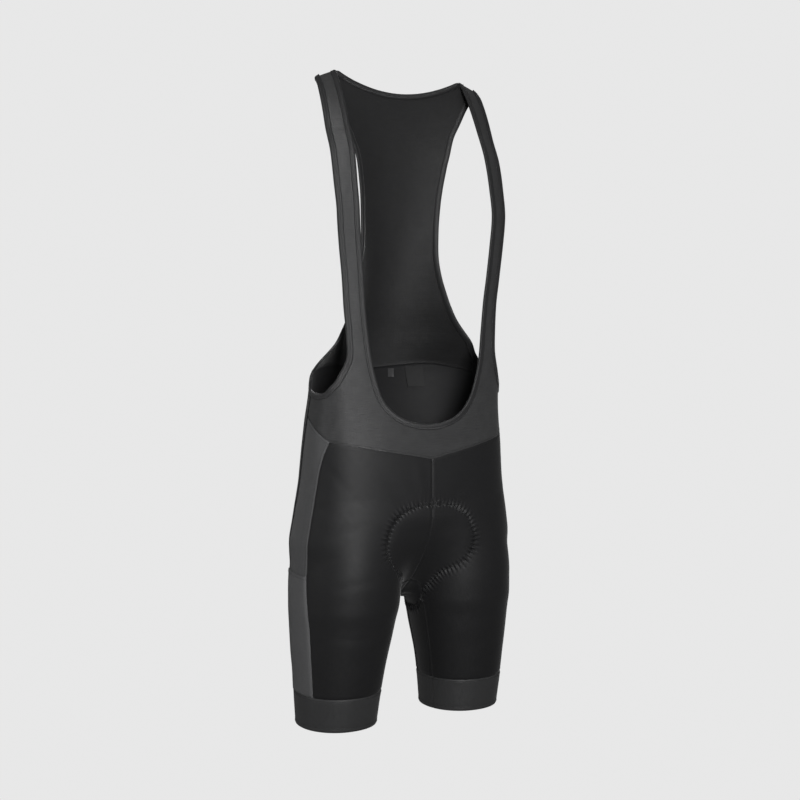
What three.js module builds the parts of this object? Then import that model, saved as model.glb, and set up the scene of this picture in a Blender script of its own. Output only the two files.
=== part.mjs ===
// Cycling bib shorts, hollow as if worn, in millimetres.
// +Z is up, the front faces -Y and the wearer's left is +X.
// The origin is the middle of the shoulder line, where the straps rest.
import * as THREE from 'three';

// Driving sizes
const CLOTH = 1.4;
const SEAM_GAP = 0.3;
const BINDING_WIDTH = 8;
const BINDING_CLOTH = 1;
const SHOULDER_INNER = 110;
const SHOULDER_OUTER = 142;
const SHOULDER_SLOPE = 13;
const SHOULDER_UP = new THREE.Vector3(0, 0.21, 0.98).normalize();
const SHOULDER_DEPTH = 2.4;
const SLOPE_FADE = 200;
const NECK_BACK_DROP = 26;
const NECK_BACK_HALF = 106;
const V_POINT = -569;
const SIDE_POINT = -541;
const WAIST_SIDE = -508;
const ARMHOLE_SIDE = -470;
const RIM = 8.4;
const BAND_TOP = -908;
const HEM = -957;
const CROTCH_LEVEL = -757;
const GUSSET_FRONT_Y = -16;
const GUSSET_BACK_Y = 78;
const GUSSET_FRONT_ANGLE = -72;
const GUSSET_BACK_ANGLE = -112;
const POCKET_TOP = -735;
const POCKET_GAP = 0.6;
const BLEND = 34;
const TRUNK_END = -777;
const LEG_START = -600;
const CORE_Y = 26;
const CORE_LEVEL = -700;
const SEAM_PULL = 0.2;

// How finely the pieces are divided
const STRAP_STEPS = 19;
const NECK_STEPS = 5;
const ARMHOLE_STEPS = 3;
const STRAP_COLUMNS = 2;
const CORNER_ROWS = 3;
const UPPER_ROWS = 10;
const LEG_ROWS = 6;
const FRONT_COLUMNS = 7;
const SIDE_COLUMNS = 3;
const BACK_SHARES = [0, 0.068, 0.118, 0.24, 0.36, 0.49, 0.62, 0.75, 0.88, 1];
const ARMHOLE_COLUMNS = 1;
const GUSSET_COLUMNS = 4;
const MESH_ROWS = 18;
const BAND_ROWS = 2;
const SEARCH_STEP = 6;
const HALVINGS = 26;
const NECK_SIDE = 1;
const ARM_SIDE = -1;
const MESH_SIDE = 1;

// The trunk, one row for each height: half width, the depth of its widest line, front and back
const TRUNK = table(['height', 'halfWidth', 'wideY', 'frontY', 'backY'], [
  [0, 190, 18.4, 18.2, 18.6],
  [-14, 187, 9, 6, 22.5],
  [-78, 175, 13, -35, 25],
  [-124, 170, -3, -57, 22],
  [-169, 167, -14, -68, 25],
  [-214, 165, -22, -75, 31],
  [-258, 160, -23, -73, 40],
  [-301, 155, -22, -71, 52],
  [-345, 150, -22, -67, 66],
  [-389, 148, -26, -66, 84],
  [-421, 150, -25, -67, 94],
  [-450, 153, -14, -68, 101],
  [-480, 154, -8, -68, 107],
  [-520, 157, -1, -72, 114],
  [-560, 159.5, 0, -76, 124],
  [-600, 161.5, 0, -77, 134],
  [-650, 167, 1, -76, 141],
  [-680, 165, 1, -68, 142],
  [-705, 158, 3, -54, 139],
  [-728, 144, 6, -35, 126],
  [-748, 116, 14, -14, 102],
  [-762, 84, 20, 4, 74],
  [-771, 50, 24, 14, 50],
  [-777, 20, 25, 19, 34],
]);
const FRONT_POWER = 2.5;
const BACK_POWER = 2.2;

// The open back above the waist bends round less than the trunk: its fall 100 mm from the middle
const BACK_FALL = table(['height', 'fall'], [
  [0, 0],
  [-14, 2],
  [-39, 6],
  [-66, 11],
  [-89, 17],
  [-119, 25],
  [-164, 31],
  [-214, 42],
  [-258, 62],
  [-301, 76],
  [-345, 79],
  [-390, 67],
  [-412, 55],
  [-450, 34],
]);
const FALL_REACH = 100;
const FALL_ENDS = -400;
const RING_STARTS = -470;

// Each leg as a tube, one row for each height: its middle, half width and half depth
const LEG = table(['height', 'middleX', 'middleY', 'halfWidth', 'halfDepth'], [
  [-600, 82, 8, 20, 24],
  [-640, 86, 9, 58, 62],
  [-700, 92, 11, 80, 86],
  [-740, 96, 11, 80, 88],
  [-780, 98, 11, 79, 85],
  [-808, 100, 13, 75.5, 81],
  [-831, 101.6, 14, 72.5, 78],
  [-853, 103.3, 14.6, 69.5, 74],
  [-876, 104.6, 15.1, 66, 70.5],
  [-900, 105.7, 16.2, 63.5, 67],
  [-924, 106.6, 17.8, 61, 64],
  [-957, 106.8, 20, 58, 60],
]);
const LEG_POWER = 2.1;

// Where the rows of the lower panels are measured from
const ROW_MIDDLE = table(['height', 'middleX', 'middleY'], [
  [-430, 66, 12],
  [-569, 80, 10],
  [-700, 92, 11],
  [-780, 98, 11],
  [-900, 105.7, 16.2],
  [-957, 106.8, 20],
]);

// Seams down the leg, in degrees round it from the front towards the outside
const SIDE_SEAMS = table(['height', 'front', 'back'], [
  [-470, 50, 91],
  [-508, 52, 96],
  [-541, 57, 102],
  [-573, 65, 107],
  [-611, 69, 112],
  [-680, 71.5, 115],
  [-735, 73, 117],
  [-766, 71, 117],
  [-802, 68, 117],
  [-852, 65, 117],
  [-908, 62, 117],
]);

// The straps: where their two edges run across the front
const STRAP = table(['height', 'innerX', 'outerX'], [
  [0, 110, 142],
  [-78, 113, 144.5],
  [-124, 114, 145.2],
  [-169, 115.3, 145.4],
  [-214, 115.3, 144.2],
  [-258, 112, 140.5],
  [-301, 107.4, 135.4],
  [-345, 103, 131],
  [-389, 98.2, 127.5],
  [-421, 94, 127.5],
]);

const STRAP_HEIGHTS = [-78, -124, -169, -214, -258, -301, -345, -389, -421];

// The neck's lower curve: down from the strap, and then in to the middle
const NECK_UPPER = [
  { x: 87.5, z: -450 },
  { x: 77, z: -479 },
];
const NECK_BASE = { x: 61, height: -499 };
const NECK_LOWER = [
  { x: 42, z: -511 },
  { x: 21, z: -517.5 },
  { x: 8, z: -519.2 },
  { x: 0, z: -519.5 },
];

// The armhole under the arm, as turns round the body: 0 at the front, 1 at the side, 2 at the back
const ARMHOLE_CURVE = [
  { turn: 0.72, z: -450 },
  { turn: 0.8, z: -463 },
  { turn: 0.9, z: -472.5 },
];

// The side edge of the back panel, and its bottom seam
const BACK_EDGE = table(['height', 'x'], [
  [0, 158],
  [-13, 142],
  [-39, 121],
  [-66, 105],
  [-89, 92],
  [-119, 81.5],
  [-142, 76],
  [-187, 69.5],
  [-236, 67],
  [-280, 69],
  [-322, 79],
  [-345, 86],
  [-367, 96],
  [-390, 109],
  [-412, 126],
  [-430, 140],
  [-450, 148.5],
]);
const BACK_HEIGHTS = [-13, -39, -66, -89, -119, -142, -187, -236, -280, -322, -367, -412, -450];
const BACK_SEAM = table(['x', 'height'], [
  [0, -441],
  [45, -437],
  [85, -434],
  [120, -439],
  [148, -450],
  [152, -459],
  [155, ARMHOLE_SIDE],
]);

// The seat pad inside the crotch: its half width along its run, from the front to the back
const PAD = table(['along', 'halfWidth'], [
  [0, 22],
  [8, 47],
  [24, 65],
  [54, 76],
  [78, 67],
  [94, 50],
  [110, 35],
  [140, 31],
  [175, 38],
  [215, 52],
  [258, 60],
  [298, 72],
  [330, 66],
  [348, 50],
  [358, 24],
]);
const PAD_RUNS = [0, 8, 24, 54, 78, 94, 110, 140, 175, 215, 258, 298, 330, 348, 358];
const PAD_TOP = -636;
const PAD_CLOTH = 8;
const PAD_EDGE = 0.35;
const PAD_GAP = 4.55;
const PAD_COLUMNS = 3;
const WALK_STEP = 2;

// The care label and the hanging tab inside the back, under the mesh: places from the middle to the left
const LABEL = { top: [55, 82], bottom: [63, 90], from: -439, to: -472 };
const TAB = { top: [27, 37], bottom: [28, 38], from: -443, to: -456 };
const LABEL_CLOTH = 1;
const LABEL_GAP = 0.85;

// Reads a table whose first column rises or falls steadily, smoothly between its rows
function table(columns, rows) {
  const sign = rows[1][0] > rows[0][0] ? 1 : -1;
  const keys = rows.map((row) => row[0] * sign);
  const tracks = {};
  columns.slice(1).forEach((name, place) => {
    const values = rows.map((row) => row[place + 1]);
    tracks[name] = { values, slopes: steadySlopes(keys, values) };
  });
  return (name, key) => {
    const { values, slopes } = tracks[name];
    const k = Math.min(Math.max(key * sign, keys[0]), keys[keys.length - 1]);
    let low = 0;
    while (low < keys.length - 2 && k > keys[low + 1]) low += 1;
    const width = keys[low + 1] - keys[low];
    const w = (k - keys[low]) / width;
    const rise = w * w * (3 - 2 * w);
    const start = w * (1 - w) * (1 - w) * width;
    const end = w * w * (w - 1) * width;
    return values[low] * (1 - rise) + values[low + 1] * rise + slopes[low] * start + slopes[low + 1] * end;
  };
}

// Slopes that keep a curve from overshooting its points
function steadySlopes(keys, values) {
  const steps = values.slice(1).map((value, i) => (value - values[i]) / (keys[i + 1] - keys[i]));
  return values.map((value, i) => {
    if (i === 0) return steps[0];
    if (i === values.length - 1) return steps[i - 1];
    if (steps[i - 1] * steps[i] <= 0) return 0;
    return 2 / (1 / steps[i - 1] + 1 / steps[i]);
  });
}

const mix = (a, b, w) => a + (b - a) * w;
const degrees = (angle) => angle * Math.PI / 180;

function smoothStep(from, to, value) {
  const w = Math.min(Math.max((value - from) / (to - from), 0), 1);
  return w * w * (3 - 2 * w);
}

// How far a point lies outside a rounded section, measured from the section's middle
function outside(x, y, halfWidth, depth, power) {
  const size = (Math.abs(x / halfWidth) ** power + Math.abs(y / depth) ** power) ** (1 / power);
  return Math.hypot(x, y) * (1 - 1 / Math.max(size, 1e-6));
}

function outsideTrunk(x, y, z) {
  const wide = TRUNK('wideY', z);
  const front = y < wide;
  const depth = Math.max(Math.abs((front ? TRUNK('frontY', z) : TRUNK('backY', z)) - wide), 1);
  return outside(x, y - wide, TRUNK('halfWidth', z), depth, front ? FRONT_POWER : BACK_POWER);
}

function outsideLeg(x, y, z) {
  const dx = x - LEG('middleX', z);
  const dy = y - LEG('middleY', z);
  return outside(dx, dy, LEG('halfWidth', z), LEG('halfDepth', z), LEG_POWER);
}

function blend(a, b) {
  const near = Math.max(BLEND - Math.abs(a - b), 0) / BLEND;
  return Math.min(a, b) - near * near * BLEND / 4;
}

// The whole body below the armholes: negative inside
function outsideBody(x, y, z) {
  let trunk = outsideTrunk(x, y, z);
  if (z < TRUNK_END) trunk += (TRUNK_END - z) * 2;
  if (z > LEG_START) return trunk;
  const legs = blend(outsideLeg(x, y, z), outsideLeg(-x, y, z));
  return blend(trunk, legs);
}

function bodyNormal(p) {
  const d = 0.5;
  return new THREE.Vector3(
    outsideBody(p.x + d, p.y, p.z) - outsideBody(p.x - d, p.y, p.z),
    outsideBody(p.x, p.y + d, p.z) - outsideBody(p.x, p.y - d, p.z),
    outsideBody(p.x, p.y, p.z + d) - outsideBody(p.x, p.y, p.z - d),
  ).normalize();
}

// Goes from inside the body along a direction, and stops on its surface
function surfaceAlong(start, direction) {
  let inner = 0;
  let outer = SEARCH_STEP;
  const at = (reach) => start.clone().addScaledVector(direction, reach);
  const value = (reach) => {
    const p = at(reach);
    return outsideBody(p.x, p.y, p.z);
  };
  while (value(outer) < 0) {
    inner = outer;
    outer += SEARCH_STEP;
  }
  for (let i = 0; i < HALVINGS; i += 1) {
    const middle = (inner + outer) / 2;
    if (value(middle) < 0) inner = middle;
    else outer = middle;
  }
  const p = at(outer);
  return { p, n: bodyNormal(p), deep: 1 };
}

// A point of the right half below the armholes, by its angle round the leg and its height
function lowerPoint(angle, z) {
  const turn = degrees(angle);
  const start = new THREE.Vector3(-ROW_MIDDLE('middleX', z), ROW_MIDDLE('middleY', z), z);
  return surfaceAlong(start, new THREE.Vector3(-Math.sin(turn), -Math.cos(turn), 0));
}

function angleOf(p) {
  const dx = p.x + ROW_MIDDLE('middleX', p.z);
  const dy = p.y - ROW_MIDDLE('middleY', p.z);
  const angle = THREE.MathUtils.radToDeg(Math.atan2(-dx, -dy));
  return angle;
}

const frontLine = (z) => surfaceAlong(new THREE.Vector3(0, CORE_Y, z), new THREE.Vector3(0, -1, 0)).p;
const backLine = (z) => surfaceAlong(new THREE.Vector3(0, CORE_Y, z), new THREE.Vector3(0, 1, 0)).p;
const crotchLine = (y) => surfaceAlong(new THREE.Vector3(0, y, CORE_LEVEL), new THREE.Vector3(0, 0, -1)).p;

// How far the shoulder line has fallen at a distance from the middle
function shoulderDrop(x) {
  return SHOULDER_SLOPE * Math.max(Math.abs(x) - SHOULDER_INNER, 0) / (SHOULDER_OUTER - SHOULDER_INNER);
}

// A point above the waist, by its turn round the body (0 front, 1 side, 2 back) and its height
function upperPlace(turn, z, side) {
  const onBack = turn > 1;
  const fade = 1 - smoothStep(0, SLOPE_FADE, -z);
  const quarter = degrees(90 * (onBack ? 2 - turn : turn));
  const halfWidth = TRUNK('halfWidth', z);
  const x = halfWidth * Math.sin(quarter);
  const level = Math.min(z + shoulderDrop(x) * fade, 0);
  const wide = TRUNK('wideY', level);
  const share = Math.min(Math.abs(x) / halfWidth, 1);
  let y;
  if (onBack) {
    const ring = wide + (TRUNK('backY', level) - wide) * (1 - share ** BACK_POWER) ** (1 / BACK_POWER);
    const sheet = TRUNK('backY', level) - BACK_FALL('fall', level) * (Math.abs(x) / FALL_REACH) ** BACK_POWER;
    y = mix(sheet, ring, smoothStep(-FALL_ENDS, -RING_STARTS, -z));
  } else {
    y = wide + (TRUNK('frontY', level) - wide) * (1 - share ** FRONT_POWER) ** (1 / FRONT_POWER);
  }
  return new THREE.Vector3(side * x, y, z);
}

function turnOf(x, z, onBack) {
  const quarter = Math.asin(Math.min(Math.abs(x) / TRUNK('halfWidth', z), 1)) / degrees(90);
  return onBack ? 2 - quarter : quarter;
}

function upperPoint(turn, z) {
  const d = 0.01;
  const p = upperPlace(turn, z, -1);
  const along = upperPlace(turn + d, z, -1).sub(upperPlace(turn - d, z, -1));
  const down = upperPlace(turn, z - 1, -1).sub(upperPlace(turn, Math.min(z + 1, 0), -1));
  return { p, n: along.cross(down).normalize(), deep: 1 };
}

// The mirror image of a grid of points
const flip = ({ p, n, deep = 1 }) => ({
  p: new THREE.Vector3(-p.x, p.y, p.z),
  n: new THREE.Vector3(-n.x, n.y, n.z),
  deep,
});
const mirrored = (grid) => grid.map((row) => row.map(flip));

function between(a, b, w) {
  return {
    p: a.p.clone().lerp(b.p, w),
    n: a.n.clone().lerp(b.n, w).normalize(),
    deep: mix(a.deep, b.deep, w),
  };
}

// Shares that divide a curve evenly by length
function evenly(pointAt, count) {
  const fine = 60;
  const lengths = [0];
  let last = pointAt(0);
  for (let i = 1; i <= fine; i += 1) {
    const next = pointAt(i / fine);
    lengths.push(lengths[i - 1] + next.distanceTo(last));
    last = next;
  }
  const shares = [];
  for (let k = 0; k <= count; k += 1) {
    const target = lengths[fine] * k / count;
    let i = 1;
    while (i < fine && lengths[i] < target) i += 1;
    shares.push((i - 1 + (target - lengths[i - 1]) / (lengths[i] - lengths[i - 1])) / fine);
  }
  return shares;
}

// Moves the edges of a grid inwards, so that the seam beside each stays open
function opened(grid, edges) {
  const out = grid.map((row) => row.map(({ p, n, deep }) => ({ p: p.clone(), n, deep })));
  const rows = grid.length;
  const columns = grid[0].length;
  const pull = (r, c, r2, c2) => {
    const step = grid[r2][c2].p.clone().sub(grid[r][c].p);
    out[r][c].p.addScaledVector(step, SEAM_PULL / Math.max(step.length(), SEAM_PULL));
  };
  for (let c = 0; c < columns; c += 1) {
    if (edges.includes('top')) pull(0, c, 1, c);
    if (edges.includes('bottom')) pull(rows - 1, c, rows - 2, c);
  }
  for (let r = 0; r < rows; r += 1) {
    if (edges.includes('first')) pull(r, 0, r, 1);
    if (edges.includes('last')) pull(r, columns - 1, r, columns - 2);
  }
  return out;
}

// A closed solid between two sheets of points
function solidBetween(outer, inner, closed = false) {
  const rows = outer.length;
  const columns = outer[0].length;
  const positions = [...outer.flat(), ...inner.flat()].flatMap((p) => [p.x, p.y, p.z]);
  const at = (r, c, sheet) => sheet * rows * columns + r * columns + (c % columns);
  const faces = [];
  const quad = (a, b, c, d) => faces.push(a, b, c, a, c, d);
  const lastColumn = closed ? columns : columns - 1;
  for (let r = 0; r < rows - 1; r += 1) {
    for (let c = 0; c < lastColumn; c += 1) {
      quad(at(r, c, 0), at(r + 1, c, 0), at(r + 1, c + 1, 0), at(r, c + 1, 0));
      quad(at(r, c + 1, 1), at(r + 1, c + 1, 1), at(r + 1, c, 1), at(r, c, 1));
    }
  }
  for (let c = 0; c < lastColumn; c += 1) {
    quad(at(0, c, 0), at(0, c + 1, 0), at(0, c + 1, 1), at(0, c, 1));
    quad(at(rows - 1, c + 1, 0), at(rows - 1, c, 0), at(rows - 1, c, 1), at(rows - 1, c + 1, 1));
  }
  if (!closed) {
    for (let r = 0; r < rows - 1; r += 1) {
      quad(at(r + 1, 0, 0), at(r, 0, 0), at(r, 0, 1), at(r + 1, 0, 1));
      quad(at(r, columns - 1, 0), at(r + 1, columns - 1, 0), at(r + 1, columns - 1, 1), at(r, columns - 1, 1));
    }
  }
  return facingOut(positions, faces);
}

// Turns the faces over where they point into the solid
function facingOut(positions, faces) {
  const corner = (i) => new THREE.Vector3(positions[i * 3], positions[i * 3 + 1], positions[i * 3 + 2]);
  let volume = 0;
  for (let i = 0; i < faces.length; i += 3) {
    volume += corner(faces[i]).dot(corner(faces[i + 1]).cross(corner(faces[i + 2])));
  }
  const geometry = new THREE.BufferGeometry();
  geometry.setAttribute('position', new THREE.Float32BufferAttribute(positions, 3));
  geometry.setIndex(volume < 0 ? faces.slice().reverse() : faces);
  geometry.computeVertexNormals();
  return geometry;
}

// A cloth wall whose outer face is the grid, moved out by lift
function wall(grid, thickness = CLOTH, lift = 0, closed = false) {
  const outer = grid.map((row) => row.map(({ p, n }) => p.clone().addScaledVector(n, lift)));
  const inner = grid.map((row) => row.map(({ p, n, deep = 1 }) => (
    p.clone().addScaledVector(n, lift - thickness * deep))));
  return solidBetween(outer, inner, closed);
}

// A tape folded round the edge of a panel: each station has an edge point and one further in
function folded(stations) {
  const outside = SEAM_GAP;
  const inside = -CLOTH - SEAM_GAP;
  const rings = stations.map(({ edge, inward }) => {
    const run = inward.p.clone().sub(edge.p);
    const reach = Math.min(BINDING_WIDTH / run.length(), 1);
    const far = between(edge, inward, reach);
    const away = run.clone().normalize().negate();
    const put = (from, rise, past) => (
      from.p.clone().addScaledVector(from.n, rise < 0 ? rise * from.deep : rise).addScaledVector(away, past));
    return [
      put(far, outside + BINDING_CLOTH, 0),
      put(edge, outside + BINDING_CLOTH, SEAM_GAP + BINDING_CLOTH),
      put(edge, inside - BINDING_CLOTH, SEAM_GAP + BINDING_CLOTH),
      put(far, inside - BINDING_CLOTH, 0),
      put(far, inside, 0),
      put(edge, inside, SEAM_GAP),
      put(edge, outside, SEAM_GAP),
      put(far, outside, 0),
    ];
  });
  const sides = rings[0].length;
  const positions = rings.flat().flatMap((p) => [p.x, p.y, p.z]);
  const faces = [];
  for (let r = 0; r < rings.length - 1; r += 1) {
    for (let s = 0; s < sides; s += 1) {
      const a = r * sides + s;
      const b = r * sides + (s + 1) % sides;
      const startsFar = s % 4 === 0;
      if (stations[r].crossed !== startsFar) faces.push(a, b, a + sides, b, b + sides, a + sides);
      else faces.push(a, b, b + sides, a, b + sides, a + sides);
    }
  }
  const cap = [[0, 1, 6], [0, 6, 7], [1, 2, 5], [1, 5, 6], [2, 3, 4], [2, 4, 5]];
  const end = (rings.length - 1) * sides;
  cap.forEach(([a, b, c]) => {
    faces.push(c, b, a);
    faces.push(end + a, end + b, end + c);
  });
  return facingOut(positions, faces);
}

const BLACK_KNIT = { color: 0x17181a, roughness: 0.55, metalness: 0 };
const GREY_KNIT = { color: 0x3a3b3d, roughness: 0.6, metalness: 0 };
const MESH_KNIT = { color: 0x232425, roughness: 0.8, metalness: 0 };
const TAPE = { color: 0x2c2d2f, roughness: 0.7, metalness: 0 };
const BAND_KNIT = { color: 0x2f3032, roughness: 0.5, metalness: 0 };
const PADDING = { color: 0x1d1d1f, roughness: 0.9, metalness: 0 };
const POCKET_KNIT = { color: 0x434446, roughness: 0.6, metalness: 0 };
const LABEL_WEAVE = { color: 0x242526, roughness: 0.7, metalness: 0 };

const group = new THREE.Group();

function addPiece(name, geometry, finish) {
  const mesh = new THREE.Mesh(geometry, new THREE.MeshStandardMaterial(finish));
  mesh.name = name;
  group.add(mesh);
}

function addPair(name, grid, finish, thickness = CLOTH, lift = 0, closed = false) {
  addPiece(`${name}_right`, wall(grid, thickness, lift, closed), finish);
  addPiece(`${name}_left`, wall(mirrored(grid), thickness, lift, closed), finish);
}

// The seams of the lower panels, each as a list of angles and heights from the top down
const seamPlace = (p) => ({ angle: angleOf(p), z: p.z });
const gussetFront = crotchLine(GUSSET_FRONT_Y);
const gussetBack = crotchLine(GUSSET_BACK_Y);

function downSeam(angleAt, from, to, count) {
  const place = (w) => ({ angle: angleAt(mix(from, to, w)), z: mix(from, to, w) });
  return Array.from({ length: count + 1 }, (_, i) => place(i / count));
}

function centreSeam(line, from, to, count) {
  const bend = 2.2;
  const heightAt = (w) => mix(from, to, 1 - (1 - w) ** bend);
  const shares = evenly((w) => line(heightAt(w)), count);
  return shares.map((w) => seamPlace(line(heightAt(w))));
}

const frontAngle = (z) => SIDE_SEAMS('front', z);
const backAngle = (z) => SIDE_SEAMS('back', z);

// One column of the gusset, from the crotch down to the band
function gussetColumn(share) {
  const top = crotchLine(mix(GUSSET_FRONT_Y, GUSSET_BACK_Y, share));
  const start = seamPlace(top);
  const fullTurn = 360;
  const startAngle = start.angle > 0 ? start.angle - fullTurn : start.angle;
  const endAngle = mix(GUSSET_FRONT_ANGLE, GUSSET_BACK_ANGLE, share);
  const turnDone = 0.5;
  const sinkBend = 1.7;
  return Array.from({ length: LEG_ROWS + 1 }, (_, row) => {
    const w = row / LEG_ROWS;
    const sink = w ** sinkBend;
    return { angle: mix(startAngle, endAngle, smoothStep(0, turnDone, w)), z: mix(start.z, BAND_TOP, sink) };
  });
}

const gussetSeams = Array.from({ length: GUSSET_COLUMNS + 1 }, (_, i) => gussetColumn(i / GUSSET_COLUMNS));
const backTurned = (place) => ({ angle: place.angle + 360, z: place.z });

const frontInner = [
  ...centreSeam(frontLine, V_POINT, gussetFront.z, UPPER_ROWS).slice(0, -1),
  ...gussetSeams[0],
];
const frontOuter = [
  ...downSeam(frontAngle, SIDE_POINT, CROTCH_LEVEL, UPPER_ROWS).slice(0, -1),
  ...downSeam(frontAngle, CROTCH_LEVEL, BAND_TOP, LEG_ROWS),
];
const sideOuter = [
  ...downSeam(backAngle, WAIST_SIDE, CROTCH_LEVEL, UPPER_ROWS).slice(0, -1),
  ...downSeam(backAngle, CROTCH_LEVEL, BAND_TOP, LEG_ROWS),
];
const cornerHeights = [ARMHOLE_SIDE, ARMHOLE_SIDE - RIM, (ARMHOLE_SIDE - RIM + WAIST_SIDE) / 2];
const backOuter = [
  ...cornerHeights.map((z) => ({ angle: backAngle(z), z })),
  ...sideOuter,
];
const backInner = [
  ...centreSeam(backLine, BACK_SEAM('height', 0), gussetBack.z, UPPER_ROWS + CORNER_ROWS)
    .slice(0, -1).map(({ angle, z }) => ({ angle: (angle + 360) % 360, z })),
  ...gussetSeams[GUSSET_COLUMNS].map(backTurned),
];

// A panel between two seams, with a bend of its height between them
function panelBetween(first, second, columns, bend = 1) {
  return first.map((start, row) => Array.from({ length: columns + 1 }, (_, i) => {
    const w = i / columns;
    return lowerPoint(mix(start.angle, second[row].angle, w), mix(start.z, second[row].z, w ** bend));
  }));
}

const V_BEND = 0.75;
const frontPanel = panelBetween(frontInner, frontOuter, FRONT_COLUMNS, V_BEND);
const sidePanel = panelBetween(frontOuter, sideOuter, SIDE_COLUMNS);

// The back panel's top follows the armhole and the bottom seam of the back mesh
function backPanelGrid() {
  const rows = backOuter.length - 1;
  return backOuter.map((start, row) => BACK_SHARES.map((share, i) => {
    const w = i / (BACK_SHARES.length - 1);
    const angle = mix(start.angle, backInner[row].angle, mix(share, w, row / rows));
    const topAngle = mix(backOuter[0].angle, backInner[0].angle, share);
    const topHeight = i === 0 ? ARMHOLE_SIDE : seamHeight(topAngle);
    if (row < 2) {
      const middle = seamPlace(backLine(BACK_SEAM('height', 0) - RIM * row)).angle;
      return lowerPoint(mix(backOuter[0].angle, (middle + 360) % 360, share), topHeight - RIM * row);
    }
    const plain = mix(start.z, backInner[row].z, w);
    const plainTop = mix(backOuter[0].z, backInner[0].z, w);
    const fade = Math.max(1 - row / UPPER_ROWS, 0) ** 2;
    return lowerPoint(angle, plain + (topHeight - plainTop) * fade);
  }));
}

// The height of the back mesh's seam where it crosses an angle
function seamHeight(angle) {
  const rounds = 6;
  let z = BACK_SEAM('height', 0);
  for (let i = 0; i < rounds; i += 1) {
    z = BACK_SEAM('height', Math.abs(lowerPoint(angle, z).p.x));
  }
  return z;
}

const backPanel = backPanelGrid();
const gussetPanel = Array.from({ length: LEG_ROWS + 1 }, (_, row) => (
  gussetSeams.map((column, i) => {
    if (row > 0) return lowerPoint(column[row].angle, column[row].z);
    const p = crotchLine(mix(GUSSET_FRONT_Y, GUSSET_BACK_Y, i / GUSSET_COLUMNS));
    return { p, n: bodyNormal(p), deep: 1 };
  })
));

addPair('front_panel', opened(frontPanel, ['top', 'bottom', 'first', 'last']), BLACK_KNIT);
addPair('side_panel', opened(sidePanel, ['top', 'bottom', 'first', 'last']), GREY_KNIT);
addPair('back_panel', opened(backPanel, ['top', 'bottom', 'first', 'last']), BLACK_KNIT);
addPair('gusset', opened(gussetPanel, ['top', 'bottom', 'first', 'last']), BLACK_KNIT);

// The leg bands close round the leg, and take their columns from the panels above
const lastRow = (grid) => grid[grid.length - 1];
const bandTop = [
  ...lastRow(frontPanel).slice(0, -1),
  ...lastRow(sidePanel).slice(0, -1),
  ...lastRow(backPanel).slice(0, -1),
  ...lastRow(gussetPanel).slice(1).reverse(),
];
const legBand = Array.from({ length: BAND_ROWS + 1 }, (_, row) => bandTop.map((top) => (
  row === 0 ? top : lowerPoint(angleOf(top.p), mix(BAND_TOP, HEM, row / BAND_ROWS))
)));
addPair('leg_band', opened(legBand, ['top']), BAND_KNIT, CLOTH, 0, true);

// The pocket on each leg lies on the side panel, from its own top hem down to the leg band
const isBelowPocketTop = (row) => row[0].p.z < POCKET_TOP;
const firstBelow = sidePanel.findIndex(isBelowPocketTop);
const pocketShare = (sidePanel[firstBelow - 1][0].p.z - POCKET_TOP)
  / (sidePanel[firstBelow - 1][0].p.z - sidePanel[firstBelow][0].p.z);
const pocketTop = sidePanel[firstBelow].map((low, c) => (
  between(sidePanel[firstBelow - 1][c], low, pocketShare)
));
const pocket = [pocketTop, ...sidePanel.slice(firstBelow)];
addPair('pocket', opened(pocket, ['bottom', 'first', 'last']), POCKET_KNIT, CLOTH, CLOTH + POCKET_GAP);

// Walks over the body's surface from a point, in steps, and stays on it
function walk(start, direction, length) {
  const p = start.clone();
  const heading = direction.clone();
  const steps = Math.max(Math.round(length / WALK_STEP), 1);
  for (let i = 0; i < steps; i += 1) {
    p.addScaledVector(heading, length / steps);
    const n = bodyNormal(p);
    p.addScaledVector(n, -outsideBody(p.x, p.y, p.z));
    heading.addScaledVector(n, -heading.dot(n)).normalize();
  }
  return { p, n: bodyNormal(p), heading };
}

// A small flat piece sewn inside the back, from its top corners to its bottom ones
function insideBack({ top, bottom, from, to }) {
  const steps = [0, 0.5, 1];
  return steps.map((down) => steps.map((across) => {
    const x = mix(mix(top[0], top[1], across), mix(bottom[0], bottom[1], across), down);
    return surfaceAlong(new THREE.Vector3(x, CORE_Y, mix(from, to, down)), new THREE.Vector3(0, 1, 0));
  }));
}

addPiece('size_label', wall(insideBack(LABEL), LABEL_CLOTH, -CLOTH - LABEL_GAP), LABEL_WEAVE);
addPiece('hang_tab', wall(insideBack(TAB), LABEL_CLOTH, -CLOTH - LABEL_GAP), LABEL_WEAVE);

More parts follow.
